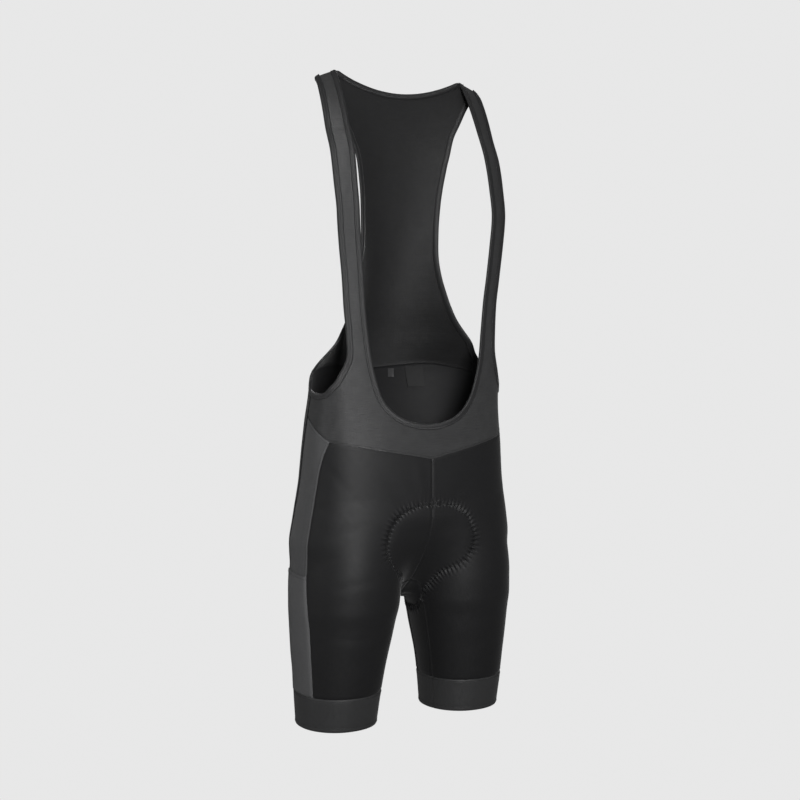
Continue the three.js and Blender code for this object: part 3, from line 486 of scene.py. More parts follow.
def gusset_rows():
    rows = [crotch_line(np.linspace(GUSSET_FRONT_Y, GUSSET_BACK_Y, GUSSET_COLUMNS + 1))]
    for row in range(1, LEG_ROWS + 1):
        rows.append(lower_points([column[row][0] for column in gusset_seams],
                                 [column[row][1] for column in gusset_seams]))
    return np.array(rows)


front_rows = panel_between(front_inner, front_outer, FRONT_COLUMNS, FRONT_BEND)
side_rows = panel_between(front_outer, side_outer, SIDE_COLUMNS)
back_rows = back_panel_rows()
gusset_grid = gusset_rows()


def finer(values, count, axis):
    """Puts count steps in each interval along an axis, on a smooth curve through the values."""
    v = np.moveaxis(values, axis, 0)
    padded = np.concatenate([[2 * v[0] - v[1]], v, [2 * v[-1] - v[-2]]])
    out = []
    for i in range(len(v) - 1):
        a, b, c, d = padded[i:i + 4]
        for k in range(count):
            t = k / count
            out.append(0.5 * (2 * b + (c - a) * t + (2 * a - 5 * b + 4 * c - d) * t ** 2
                              + (3 * b - 3 * c + d - a) * t ** 3))
    out.append(v[-1])
    return np.moveaxis(np.array(out), 0, axis)


def walk(start, heading, length):
    """Walks over the body from points, in short steps, and stays on it."""
    p = np.array(start, float)
    direction = np.array(heading, float)
    length = np.asarray(length, float)
    steps = max(int(np.max(length) / 2), 1)
    for _ in range(steps):
        p = p + direction * (length / steps)[..., None]
        n = unit(body_slope(p))
        p = p - n * outside_body(p)[..., None]
        direction = unit(direction - n * (direction * n).sum(-1, keepdims=True))
    return p


# The pad's outline, which shows as a zigzag seam with puckers all round it
PAD = curve_table(["along", "halfWidth"], [
    [0, 22],
    [8, 47],
    [24, 65],
    [54, 76],
    [78, 67],
    [94, 50],
    [110, 35],
    [140, 31],
    [175, 38],
    [215, 52],
    [258, 60],
    [298, 72],
    [330, 66],
    [348, 50],
    [358, 24],
])
PAD_LENGTH = 358
PAD_TOP = -636
PUCKER_PITCH = 6.2
PUCKER_DEPTH = 1.6
PUCKER_REACH = 5.0
PUCKER_SIZES = (0.65, 1.15)
STEPS_A_PUCKER = 8
PAD_GROOVE = 0.9
GROOVE_WIDTH = 2.6
PAD_SWELL = 1.2
SWELL_WIDTH = 9
PAD_ZONE_HALF = 100
PAD_ZONE_ABOVE = 20


def pad_middle_line():
    """The pad's middle line, a point each 2 mm from the front through the crotch to the back."""
    p = front_line(PAD_TOP)
    heading = np.array([[0, 0, -1.0]])
    points = [p[0]]
    for _ in range(PAD_LENGTH // 2 + 2):
        p = p + heading * 2
        n = unit(body_slope(p))
        p = p - n * outside_body(p)[:, None]
        heading = unit(heading - n * (heading * n).sum(-1, keepdims=True))
        points.append(p[0])
    return np.array(points)


middle_line = pad_middle_line()


def pad_places(runs, shares):
    """Points of the pad's field: along its middle line, and out to the left by shares of its half width."""
    runs = np.asarray(runs, float)
    lengths = run_lengths(middle_line)
    middle = np.stack([np.interp(runs, lengths, middle_line[:, k]) for k in range(3)], -1)
    sideways = np.tile([1.0, 0, 0], (len(runs), 1))
    reach = PAD("halfWidth", runs)
    return np.stack([walk(middle, sideways, reach * share) if share > 0 else middle for share in shares], 1)


def pad_outline():
    """The outline as an even run of points, from the front round the left half, closed by the right half."""
    spans = [(0, 24, 13), (28, 330, 70), (334, PAD_LENGTH, 10)]
    runs = np.concatenate([np.linspace(*span) for span in spans])
    edge = pad_places(runs, [1])[:, 0]
    sideways = np.tile([1.0, 0, 0], (4, 1))
    top = walk(np.repeat(front_line(PAD_TOP), 4, 0), sideways, np.array([0, 6, 12, 17.0]))
    end = walk(np.repeat(pad_places([PAD_LENGTH], [0])[:, 0], 4, 0), sideways, np.array([18, 12, 6, 0.0]))
    half = np.concatenate([top, edge, end])
    other = half[1:-1][::-1] * [-1, 1, 1]
    ring = np.concatenate([half, other, half[:1]])
    for _ in range(3):
        ring[1:-1] = (ring[:-2] + 2 * ring[1:-1] + ring[2:]) / 4
    lengths = run_lengths(ring)
    count = int(round(lengths[-1] / PUCKER_PITCH)) * STEPS_A_PUCKER
    at = np.linspace(0, lengths[-1], count + 1)[:-1]
    return onto_body(np.stack([np.interp(at, lengths, ring[:, k]) for k in range(3)], -1))


outline = pad_outline()
outline_normal = unit(body_slope(outline))
outline_along = unit(np.roll(outline, -1, 0) - np.roll(outline, 1, 0))
outline_out = unit(np.cross(outline_along, outline_normal))
from_middle = outline - np.array([0, 20, CORE_LEVEL])
outline_out *= np.sign((outline_out * from_middle).sum(-1).mean())
rng = np.random.default_rng(7)
pucker_size = np.repeat(rng.uniform(*PUCKER_SIZES, len(outline) // STEPS_A_PUCKER), STEPS_A_PUCKER)
outline_tree = KDTree(len(outline))
for i, point in enumerate(outline):
    outline_tree.insert(point, i)
outline_tree.balance()


def pad_relief(p):
    """How far the pad's seam moves the cloth out: a groove on the outline and puckers beside it."""
    flat = p.reshape(-1, 3)
    near = np.flatnonzero((np.abs(flat[:, 0]) < PAD_ZONE_HALF) & (flat[:, 2] < PAD_TOP + PAD_ZONE_ABOVE))
    lift = np.zeros(len(flat))
    found = np.array([outline_tree.find(flat[i])[1:] for i in near])
    if len(near):
        nearest = found[:, 0].astype(int)
        d = found[:, 1]
        side = ((flat[near] - outline[nearest]) * outline_out[nearest]).sum(-1)
        phase = 2 * np.pi * nearest / STEPS_A_PUCKER
        reach = np.where(side > 0, PUCKER_REACH * 1.5, PUCKER_REACH * 0.7)
        pucker = np.cos(phase) * fade_out(d, reach) * pucker_size[nearest] * PUCKER_DEPTH
        groove = -PAD_GROOVE * fade_out(d, GROOVE_WIDTH)
        inside = np.where(side < 0, 1 - fade_out(d, SWELL_WIDTH), 0)
        lift[near] = pucker + groove + PAD_SWELL * inside
    return lift.reshape(p.shape[:-1])


# The main creases, each a soft trough or ridge: its middle, its direction, and how long, wide and high it is
CREASES = [
    # middle            direction          length width height
    ((-150, -45, -585), (-0.5, 0.55, 0.67), 46, 7.0, -1.1),
    ((-158, -20, -640), (0.1, -0.95, 0.25), 42, 8.0, -1.2),
    ((-140, -62, -668), (-0.85, 0.4, -0.3), 44, 9.0, -1.0),
    ((-60, -77, -612), (0.7, 0, -0.7), 38, 11, -1.1),
    ((62, -77, -606), (-0.72, 0, -0.68), 42, 10, -1.0),
    ((-20, -77, -600), (0.2, 0, -0.98), 30, 9.0, 0.8),
    ((120, -66, -640), (0.8, 0.3, 0.5), 46, 9.0, -1.1),
    ((-128, -66, -742), (-0.9, 0.3, -0.15), 40, 8.0, -0.9),
    ((118, -60, -748), (0.9, 0.25, -0.2), 44, 9.0, -1.0),
    ((-120, -60, -820), (-0.9, 0.35, 0.12), 34, 7.0, -0.7),
    ((92, -66, -850), (0.95, 0, 0.2), 38, 8.0, -0.7),
    ((-95, -55, -896), (0.98, 0, 0.1), 46, 5.0, 0.7),
    ((104, -52, -898), (0.98, 0, -0.08), 44, 5.0, 0.7),
    ((165, 20, -690), (0.1, 0.97, 0.2), 44, 9.0, -1.1),
    ((-167, 25, -716), (0.1, 0.96, -0.25), 40, 9.0, -1.0),
    ((0, 128, -560), (0.97, 0, 0.22), 46, 10, -1.0),
    ((-70, 118, -590), (0.9, 0.1, -0.4), 40, 9.0, -0.9),
    ((80, 120, -612), (0.92, -0.1, 0.3), 44, 10, -1.0),
    ((-75, 118, -742), (0.95, 0, -0.3), 42, 8.0, -1.2),
    ((80, 116, -748), (0.95, 0, 0.28), 46, 8.0, -1.1),
    ((-90, 92, -784), (0.97, 0, 0.12), 44, 7.0, -1.0),
    ((95, 92, -792), (0.97, 0, -0.1), 40, 7.0, -1.0),
    ((-98, 84, -846), (0.97, 0, 0.15), 36, 8.0, -0.8),
    ((100, 84, -858), (0.97, 0, -0.12), 38, 8.0, -0.8),
    ((-128, -40, -470), (0.45, -0.3, -0.84), 26, 6.0, -0.8),
    ((132, -40, -474), (-0.4, -0.3, -0.86), 28, 6.0, -0.8),
    ((-40, -74, -545), (0.96, 0, -0.2), 40, 8.0, -0.8),
    ((52, -74, -540), (0.96, 0, 0.24), 36, 8.0, -0.7),
]
CREASE_SHARE = 0.75


def crease_relief(p):
    lift = np.zeros(p.shape[:-1])
    for middle, direction, length, width, height in CREASES:
        d = np.array(direction) / np.linalg.norm(direction)
        q = p - np.array(middle)
        along = (q * d).sum(-1)
        across = np.linalg.norm(q - along[..., None] * d, axis=-1)
        lift += CREASE_SHARE * height * np.exp(-(across / width) ** 2 - (along / length) ** 2)
    return lift


def edge_distance(grid):
    """How far each point of a grid lies from its first and last row and column, in millimetres."""
    across = np.linalg.norm(np.diff(grid, axis=1), axis=-1)
    down = np.linalg.norm(np.diff(grid, axis=0), axis=-1)
    zero_column = np.zeros((len(grid), 1))
    zero_row = np.zeros((1, grid.shape[1]))
    first = np.concatenate([zero_column, np.cumsum(across, 1)], 1)
    top = np.concatenate([zero_row, np.cumsum(down, 0)], 0)
    return {"first": first, "last": first[:, -1:] - first, "top": top, "bottom": top[-1:] - top}


SEAM_DIP = 0.8
SEAM_WIDTH = 1.7
SEAM_RIDGE = 0.15
RIDGE_AWAY = 4.2
RIDGE_WIDTH = 1.8
ALL_EDGES = ["first", "last", "top", "bottom"]
INNER_SHARE = 0.6


def seam_profile(distance):
    """The cloth's height beside a seam: a dip on the seam and a low ridge next to it."""
    ridge = SEAM_RIDGE * fade_out(distance - RIDGE_AWAY, RIDGE_WIDTH)
    return ridge - SEAM_DIP * fade_out(distance, SEAM_WIDTH)


def seam_relief(grid, edges):
    distance = edge_distance(grid)
    lift = np.zeros(grid.shape[:2])
    for edge in edges:
        lift += seam_profile(distance[edge])
    return lift


def inner_relief(rise):
    """The inner face follows the troughs in full and the ridges by a share."""
    return np.minimum(rise, rise * INNER_SHARE)


def quads_of(index):
    corners = [index[:-1, :-1], index[1:, :-1], index[1:, 1:], index[:-1, 1:]]
    return np.stack(corners, -1).reshape(-1, 4)


def cloth_mesh(name, patches, material):
    """A thin wall from patches of outer and inner points that share their edges, with the rims closed."""
    outer = np.concatenate([patch[0].reshape(-1, 3) for patch in patches])
    inner = np.concatenate([patch[1].reshape(-1, 3) for patch in patches])
    flat_uv = np.concatenate([patch[2].reshape(-1, 2) for patch in patches])
    _, first, merged = np.unique(np.round(outer, 3), axis=0, return_index=True, return_inverse=True)
    merged = merged.ravel()
    quads = []
    start = 0
    for patch in patches:
        rows, columns = patch[0].shape[:2]
        index = merged[start:start + rows * columns].reshape(rows, columns)
        start += rows * columns
        quads.append(quads_of(index))
    front = np.concatenate(quads)
    count = len(first)
    edges = np.concatenate([front[:, [i, (i + 1) % 4]] for i in range(4)])
    keys = edges[:, 0].astype(np.int64) * count + edges[:, 1]
    back_keys = edges[:, 1].astype(np.int64) * count + edges[:, 0]
    rim = edges[~np.isin(keys, back_keys)]
    walls = np.stack([rim[:, 1], rim[:, 0], rim[:, 0] + count, rim[:, 1] + count], -1)
    faces = np.concatenate([front, front[:, ::-1] + count, walls])
    points = np.concatenate([outer[first], inner[first]]) * MM
    uv = np.concatenate([flat_uv[first], flat_uv[first]]) * MM
    return mesh_piece(name, points, faces, uv, material)


def mesh_piece(name, points, faces, uv, material):
    """Writes a closed mesh with its faces pointing out."""
    volume = 0
    for corners in ([0, 1, 2], [0, 2, 3]):
        t = points[faces[:, corners]]
        volume += (t[:, 0] * np.cross(t[:, 1], t[:, 2])).sum()
    if volume < 0:
        faces = faces[:, ::-1]
    mesh = bpy.data.meshes.new(name)
    mesh.vertices.add(len(points))
    mesh.vertices.foreach_set("co", points.ravel())
    mesh.loops.add(faces.size)
    mesh.loops.foreach_set("vertex_index", faces.ravel().astype(np.int32))
    mesh.polygons.add(len(faces))
    mesh.polygons.foreach_set("loop_start", np.arange(0, faces.size, 4, dtype=np.int32))
    mesh.update(calc_edges=True)
    layer = mesh.uv_layers.new(name="cloth")
    layer.data.foreach_set("uv", uv[faces.ravel()].ravel())
    mesh.polygons.foreach_set("use_smooth", np.ones(len(faces), bool))
    mesh.set_sharp_from_angle(angle=math.radians(50))
    mesh.validate()
    mesh.materials.append(material)
    piece = bpy.data.objects.new(name, mesh)
    bpy.context.collection.objects.link(piece)
    return piece


def set_input(tree, socket, value):
    """Links an output to an input, or sets the input to a plain value."""
    if hasattr(value, "links"):
        tree.links.new(value, socket)
    else:
        socket.default_value = value


def map_range(tree, value, low, high, start=0, end=1):
    node = tree.nodes.new("ShaderNodeMapRange")
    limits = {"From Min": start, "From Max": end, "To Min": low, "To Max": high}
    for name, limit in limits.items():
        node.inputs[name].default_value = limit
    tree.links.new(value, node.inputs["Value"])
    return node.outputs[0]


def multiply_colours(tree, share, first, second):
    node = tree.nodes.new("ShaderNodeMix")
    node.data_type = "RGBA"
    node.blend_type = "MULTIPLY"
    node.inputs[0].default_value = share
    set_input(tree, node.inputs[6], first)
    set_input(tree, node.inputs[7], second)
    return node.outputs[2]


ROUGH_SPREAD = 0.06
# How much the base colour is darkened in the rib troughs: painted shade.
RIB_TROUGH_PAINTED_SHADE = 0.35


def knit(name, tone, rib, rib_depth, roughness, sheen, mottle, cross=0.0, gloss=0.36):
    """A knitted cloth: fine ribs or a fine grid, uneven tone, painted shade in the rib troughs, and a soft
    sheen. Sizes are in metres.
    """
    material = bpy.data.materials.new(name)
    material.use_nodes = True
    tree = material.node_tree
    nodes, links = tree.nodes, tree.links
    shader = nodes["Principled BSDF"]
    shader.inputs["Sheen Weight"].default_value = sheen
    shader.inputs["Sheen Roughness"].default_value = 0.35
    shader.inputs["Specular IOR Level"].default_value = gloss
    uv = nodes.new("ShaderNodeUVMap")
    uv.uv_map = "cloth"

    def wave(axis, width):
        node = nodes.new("ShaderNodeTexWave")
        node.bands_direction = axis
        node.inputs["Scale"].default_value = 0.314 / width
        node.inputs["Distortion"].default_value = 0.6
        node.inputs["Detail"].default_value = 1
        links.new(uv.outputs[0], node.inputs["Vector"])
        return node.outputs["Fac"]

    def noise(scale, detail, stretch=(1, 1, 1)):
        place = nodes.new("ShaderNodeMapping")
        place.inputs["Scale"].default_value = stretch
        links.new(uv.outputs[0], place.inputs["Vector"])
        node = nodes.new("ShaderNodeTexNoise")
        node.inputs["Scale"].default_value = scale
        node.inputs["Detail"].default_value = detail
        links.new(place.outputs[0], node.inputs["Vector"])
        return node.outputs["Fac"]

    def combine(kind, a, b):
        node = nodes.new("ShaderNodeMath")
        node.operation = kind
        for socket, value in zip(node.inputs, (a, b)):
            set_input(tree, socket, value)
        return node.outputs[0]

    height = wave("Y", rib)
    if cross:
        height = combine("MULTIPLY", height, combine("ADD", combine("MULTIPLY", wave("X", cross), 0.6), 0.4))
    streaks = noise(900, 3, (0.06, 1, 1))
    bump_height = combine("ADD", height, combine("MULTIPLY", streaks, 0.9))
    bump = nodes.new("ShaderNodeBump")
    bump.inputs["Strength"].default_value = 1
    bump.inputs["Distance"].default_value = rib_depth
    links.new(bump_height, bump.inputs["Height"])
    links.new(bump.outputs[0], shader.inputs["Normal"])

    blotches = combine("ADD", combine("MULTIPLY", noise(55, 4), 0.4), combine("MULTIPLY", streaks, 0.6))
    uneven = map_range(tree, blotches, 1 - mottle, 1 + mottle, 0.3, 0.7)
    colour = multiply_colours(tree, 1, (*tone, 1), uneven)
    # The base colour is darker in the rib troughs, following the rib height: painted shade.
    links.new(multiply_colours(tree, RIB_TROUGH_PAINTED_SHADE, colour, height), shader.inputs["Base Color"])
    rough = map_range(tree, noise(120, 3), roughness - ROUGH_SPREAD, roughness + ROUGH_SPREAD)
    links.new(rough, shader.inputs["Roughness"])
    return material


def mirror(grid):
    return grid * [-1, 1, 1]


def knit_uv(grid):
    """Cloth coordinates: distance round the body, and height."""
    distance = edge_distance(grid)
    return np.stack([distance["first"], grid[..., 2]], -1)


def half_area(piece):
    areas = np.empty(len(piece.data.polygons))
    piece.data.polygons.foreach_get("area", areas)
    return float(areas.sum() / 2)


CUT_SHARE = 0.88
WIDEST_SHARE = 1.15


def declare_cloth(piece, node, flat=None):
    """Hangs a panel on the body's root and hides its part. Every panel is a sheet of stretch knit, whose area
    is cut smaller than it is worn; that cut area and the flat size are worked out here but not used.
    """
    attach(piece, "root")
    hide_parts(node)
    area = half_area(piece) * CUT_SHARE
    if flat is None:
        tall = piece.dimensions.z
        flat = (area / tall * WIDEST_SHARE, tall)


def lower_panel(name, coarse, fine, material, slot_name, rests_on):
    """Builds the right and the left panel on the body, with their seams, creases and the pad's puckers."""
    right = onto_body(finer(finer(coarse, fine[0], 0), fine[1], 1))
    for side, grid in (("right", right), ("left", mirror(right)[:, ::-1])):
        normals = unit(body_slope(grid))
        rise = seam_relief(grid, ALL_EDGES) + crease_relief(grid) + pad_relief(grid)
        outer = grid + normals * rise[..., None]
        inner = grid + normals * (inner_relief(rise) - CLOTH)[..., None]
        piece = cloth_mesh(f"{name}_{side}_knit", [(outer, inner, knit_uv(grid))], material)
        declare_cloth(piece, f"{name}_{side}")
    return right


BLACK_TONE = (0.0105, 0.0105, 0.0112)
BLACK_KNIT = knit("black_stretch_knit", BLACK_TONE, 0.0011, 0.00006, 0.56, 0.10, 0.12, gloss=0.26)
SIDE_KNIT = knit("dark_grey_knit", (0.074, 0.0745, 0.0765), 0.0011, 0.00014, 0.6, 0.12, 0.12)
LOWER_PANELS = [
    # name, rows of points, steps put in each row and column, material, slot, what it rests on
    ("front_panel", front_rows, (12, 17), BLACK_KNIT, "leg_knit", "front_bib"),
    ("side_panel", side_rows, (10, 10), SIDE_KNIT, "side_knit", "front_bib"),
    ("back_panel", back_rows, (9, 11), BLACK_KNIT, "leg_knit", "back_mesh"),
    ("gusset", gusset_grid, (12, 8), BLACK_KNIT, "leg_knit", "front_panel_right"),
]
front_right, side_right, back_right, gusset_right = [lower_panel(*row) for row in LOWER_PANELS]

# The leg bands: a wide elastic knit, overlapped on the panels' lower edge and joined at the inner leg.

BAND_KNIT = knit("elastic_band_knit", (0.036, 0.0362, 0.037), 0.0009, 0.00008, 0.5, 0.06, 0.06)
BAND_OVERLAP = 0.6
BAND_START = GUSSET_FRONT_ANGLE
BAND_FLAT = (0.38, 0.05)
BAND_STITCH = 6.5
BAND_FORMS = [
    # edge, distance from it, width, height
    ("top", 0, 1.2, -0.9),
    ("bottom", 2, 2, 0.5),
    ("bottom", BAND_STITCH, 0.9, -0.35),
    ("bottom", 0, 0.8, -0.6),
    ("join", 0, 1.2, -0.7),
]


def leg_bands():
    angles = np.linspace(BAND_START, BAND_START + FULL_TURN, 241)
    heights = np.linspace(BAND_TOP, HEM, 21)
    grid = np.array([lower_points(angles, np.full_like(angles, z)) for z in heights])
    distance = edge_distance(grid)
    distance["join"] = np.minimum(distance["first"], distance["last"])
    rise = np.full(grid.shape[:2], BAND_OVERLAP)
    for edge, away, width, height in BAND_FORMS:
        rise += height * fade_out(distance[edge] - away, width)
    inward = CLOTH - 0.5 * fade_out(distance["bottom"], 0.8)
    for side, sheet in (("right", grid), ("left", mirror(grid))):
        normals = unit(body_slope(sheet))
        outer = sheet + normals * (rise + 0.5 * crease_relief(sheet))[..., None]
        inner = sheet - normals * inward[..., None]
        piece = cloth_mesh(f"leg_band_{side}_knit", [(outer, inner, knit_uv(sheet))], BAND_KNIT)
        declare_cloth(piece, f"leg_band_{side}", BAND_FLAT)
    return grid


band_right = leg_bands()

# The pockets: one on each side panel, with a 7 mm hem at the top, caught in the side seams and the band.

POCKET_TOP = -735
POCKET_LIFT = 1.7
POCKET_HEM = 7
POCKET_STITCH = 5.4
POCKET_KNIT = knit("pocket_knit", (0.093, 0.0935, 0.096), 0.0011, 0.00014, 0.6, 0.12, 0.1)


def pockets():
    below = next(i for i, row in enumerate(side_rows) if row[0, 2] < POCKET_TOP)
    above_row, below_row = side_rows[below - 1], side_rows[below]
    share = (above_row[0, 2] - POCKET_TOP) / (above_row[0, 2] - below_row[0, 2])
    coarse = np.concatenate([mix(above_row, below_row, share)[None], side_rows[below:]])
    right = onto_body(finer(finer(coarse, 11, 0), 11, 1))
    for side, grid in (("right", right), ("left", mirror(right)[:, ::-1])):
        normals = unit(body_slope(grid))
        distance = edge_distance(grid)
        sides = np.minimum(distance["first"], distance["last"])
        caught = fade_out(sides, 1.8) + fade_out(distance["bottom"], 1.4)
        hem = distance["top"]
        rise = POCKET_LIFT * (1 - np.minimum(caught, 1)) - SEAM_DIP * np.minimum(caught, 1) * 0.6
        rise += 0.55 * smooth_step(POCKET_HEM + 0.8, POCKET_HEM - 0.4, hem)
        rise -= 0.4 * fade_out(hem - POCKET_STITCH, 0.7)
        rise += crease_relief(grid)
        outer = grid + normals * rise[..., None]
        under = np.minimum(rise - 1.1, 0.5 + crease_relief(grid))
        inner = grid + normals * under[..., None]
        piece = cloth_mesh(f"pocket_{side}_knit", [(outer, inner, knit_uv(grid))], POCKET_KNIT)
        declare_cloth(piece, f"pocket_{side}")
    return right


pocket_right = pockets()

# The bib: one piece of fine cross-ribbed knit with both straps, the part under the neck, and round to the
# side seams. Its top ends are sewn to the back mesh on the shoulders.

BIB_KNIT = knit("brushed_rib_knit", (0.041, 0.0412, 0.042), 0.00125, 0.00022, 0.41, 0.06, 0.22, gloss=0.32)
SLOPE_FADE = 200
FALL_REACH = 100
FALL_ENDS = -400
RING_STARTS = -470
BACK_FALL = curve_table(["height", "fall"], [
    [0, 0],
    [-14, 2],
    [-39, 6],
    [-66, 11],
    [-89, 17],
    [-119, 25],
    [-164, 31],
    [-214, 42],
    [-258, 62],
    [-301, 76],
    [-345, 79],
    [-390, 67],
    [-412, 55],
    [-450, 34],
])
STRAP = [
    # height, innerX, outerX
    (-78, 113, 144.5),
    (-124, 114, 145.2),
    (-169, 115.3, 145.4),
    (-214, 115.3, 144.2),
    (-258, 112, 140.5),
    (-301, 107.4, 135.4),
    (-345, 103, 131),
    (-389, 98.2, 127.5),
    (-421, 94, 127.5),
]
NECK_CURVE = [(87.5, -450), (77, -479), (61, -499), (42, -511), (21, -517.5), (8, -519.2), (0, -519.5)]
NECK_BASE = len(STRAP) + 3
ARMHOLE_CURVE = [(0.72, -450), (0.8, -463), (0.9, -472.5)]
BACK_EDGE = [
    # height, x
    (-430, 140),
    (-412, 126),
    (-367, 96),
    (-322, 79),
    (-280, 69),
    (-236, 67),
    (-187, 69.5),
    (-142, 76),
    (-119, 81.5),
    (-89, 92),
    (-66, 105),
    (-39, 121),
    (-13, 142),
]
QUARTER_GIRTH = 240
PLACE_STEPS = 12
TURN_STEP = 0.008
BIB_FLAT = (0.30, 0.57)


def shoulder_drop(x):
    return SHOULDER_SLOPE * np.maximum(np.abs(x) - SHOULDER_INNER, 0) / (SHOULDER_OUTER - SHOULDER_INNER)


def upper_points(places):
    """Points of the right half above the waist, by turn (0 front, 1 side, 2 back) and height."""
    turn, z = places[..., 0], places[..., 1]
    on_back = turn > 1
    fade = 1 - smooth_step(0, SLOPE_FADE, -z)
    half = TRUNK("halfWidth", z)
    x = half * np.sin(np.radians(90 * np.where(on_back, 2 - turn, turn)))
    level = np.minimum(z + shoulder_drop(x) * fade, 0)
    wide = TRUNK("wideY", level)
    share = np.minimum(np.abs(x) / half, 1)
    ring = wide + (TRUNK("backY", level) - wide) * (1 - share ** BACK_POWER) ** (1 / BACK_POWER)
    sheet = TRUNK("backY", level) - BACK_FALL("fall", level) * (np.abs(x) / FALL_REACH) ** BACK_POWER
    behind = mix(sheet, ring, smooth_step(-FALL_ENDS, -RING_STARTS, -z))
    ahead = wide + (TRUNK("frontY", level) - wide) * (1 - share ** FRONT_POWER) ** (1 / FRONT_POWER)
    return np.stack([-x, np.where(on_back, behind, ahead), z], -1)


def upper_normals(places):
    along = upper_points(places + [TURN_STEP, 0]) - upper_points(places - [TURN_STEP, 0])
    down = upper_points(places - [0, 1]) - upper_points(np.minimum(places + [0, 1], [9, 0]))
    return unit(np.cross(along, down))


def turn_of(x, z, on_back):
    quarter = np.arcsin(np.minimum(np.abs(x) / TRUNK("halfWidth", z), 1)) / (np.pi / 2)
    return np.where(on_back, 2 - quarter, quarter)


def place_of(points):
    on_back = points[..., 1] > TRUNK("wideY", points[..., 2])
    return np.stack([turn_of(points[..., 0], points[..., 2], on_back), points[..., 2]], -1)


def at_x(x, z, on_back):
    x, z = np.broadcast_arrays(np.asarray(x, float), np.asarray(z, float))
    return np.stack([turn_of(x, z, on_back), z], -1)


def resample(places, count):
    """Spaces places evenly along their own path on the cloth."""
    lengths = run_lengths(upper_points(places))
    at = np.linspace(0, lengths[-1], count + 1)
    return np.stack([np.interp(at, lengths, places[:, k]) for k in range(2)], -1)


strap_zs = [row[0] for row in STRAP]
neck_xs = [SHOULDER_INNER] + [row[1] for row in STRAP] + [x for x, _ in NECK_CURVE]
neck_zs = [0] + strap_zs + [z for _, z in NECK_CURVE]
neck_path = finer(at_x(neck_xs, neck_zs, False), PLACE_STEPS, 0)
arm_xs = [SHOULDER_OUTER] + [row[2] for row in STRAP]
arm_front = at_x(arm_xs, [-SHOULDER_SLOPE] + strap_zs, False)
arm_side = np.array(ARMHOLE_CURVE)
arm_corner = place_of(back_rows[0][:2])
arm_back = at_x([x for _, x in BACK_EDGE], [z for z, _ in BACK_EDGE], True)
arm_path = finer(np.concatenate([arm_front, arm_side, arm_corner, arm_back]), PLACE_STEPS, 0)
arm_base_at = len(arm_front) * PLACE_STEPS
arm_panel_at = (len(arm_front) + len(arm_side)) * PLACE_STEPS
arm_mesh_at = arm_panel_at + PLACE_STEPS
neck_base_at = NECK_BASE * PLACE_STEPS
STRAP_ROWS = 200
STRAP_COLUMNS = 12
NECK_COLUMNS = 44
ARM_COLUMNS = 28
BELT_ROWS = 30


def strap_and_belt():
    inner = resample(neck_path[:neck_base_at + 1], STRAP_ROWS)
    outer = resample(arm_path[:arm_base_at + 1], STRAP_ROWS)
    share = np.linspace(0, 1, STRAP_COLUMNS + 1)[None, :, None]
    strap = mix(inner[:, None], outer[:, None], share)
    neck_low = resample(neck_path[neck_base_at:], NECK_COLUMNS)[::-1]
    arm_low = resample(arm_path[arm_base_at:arm_panel_at + 1], ARM_COLUMNS)
    top = np.concatenate([neck_low, strap[-1][1:], arm_low[1:]])
    front_low = resample(place_of(front_right[0]), NECK_COLUMNS + STRAP_COLUMNS)
    side_low = resample(place_of(side_right[0]), ARM_COLUMNS)
    low = np.concatenate([front_low, side_low[1:]])
    rows = np.linspace(0, 1, BELT_ROWS + 1)[:, None, None]
    return strap, mix(top[None], low[None], rows)


strap_places, belt_places = strap_and_belt()
SHOULDER_UP = np.array([0, -0.21, -0.98])
SHOULDER_DEPTH = 2.4
MITRE_REACH = 2.5


def from_shoulder(points, normals, into, deep):
    """At the shoulder the inner face is mitred, where the front and the back are sewn together."""
    reach = np.exp(-np.maximum(-points[..., 2:] - shoulder_drop(points[..., :1]), 0) / MITRE_REACH)
    return points + normals * into[..., None] * (1 - reach) + SHOULDER_UP * deep * reach


def upper_patch(places, edges):
    points, normals = upper_points(places), upper_normals(places)
    rise = crease_relief(points) + seam_relief(points, edges)
    outer = points + normals * rise[..., None]
    inner = from_shoulder(points, normals, rise - CLOTH, CLOTH * SHOULDER_DEPTH)
    uv = np.stack([places[..., 0] * QUARTER_GIRTH, places[..., 1]], -1)
    return outer, inner, uv


def flip_patch(patch):
    outer, inner, uv = patch
    return mirror(outer)[:, ::-1], mirror(inner)[:, ::-1], (uv * [-1, 1])[:, ::-1]


def add_bib():
    halves = [upper_patch(strap_places, []), upper_patch(belt_places, ["bottom", "last"])]
    patches = halves + [flip_patch(patch) for patch in halves]
    piece = cloth_mesh("front_bib_knit", patches, BIB_KNIT)
    declare_cloth(piece, "front_bib", BIB_FLAT)


add_bib()

# The back: fine open mesh from the shoulders and the back neck down to a curved seam on the seat panels.

MESH_KNIT = knit("open_mesh_knit", (0.0140, 0.0140, 0.0146), 0.0013, 0.00022, 0.62, 0.12, 0.16, cross=0.0013)
MESH_ROWS = 150
MESH_HALF = 44
MESH_BEND_FROM = 0.7
MESH_FLAT = (0.29, 0.44)


def neck_top(x):
    drop = -NECK_BACK_DROP * np.maximum(1 - (x / NECK_BACK_HALF) ** 2, 0)
    return np.where(x < SHOULDER_INNER - 1, drop, -shoulder_drop(x))


def mesh_places():
    edge = resample(arm_path[arm_mesh_at:][::-1], MESH_ROWS)
    edge_x = TRUNK("halfWidth", edge[:, 1]) * np.sin(np.radians(90 * (2 - edge[:, 0])))
    down = np.linspace(0, 1, MESH_ROWS + 1)[:, None]
    share = np.linspace(0, 1, MESH_HALF + 1)[None]
    x = share * edge_x[:, None]
    bow = share ** 2
    centre = mix(-NECK_BACK_DROP, SEAM_MIDDLE, down)
    z = mix(centre, edge[:, 1:], bow)
    top_error = neck_top(x[0]) - z[0]
    low_error = BACK_SEAM("height", x[-1]) - z[-1]
    z = z + top_error * (1 - down) ** 4 + low_error * down ** 4
    return at_x(x, np.minimum(z, -shoulder_drop(x)), True)


back_places = mesh_places()


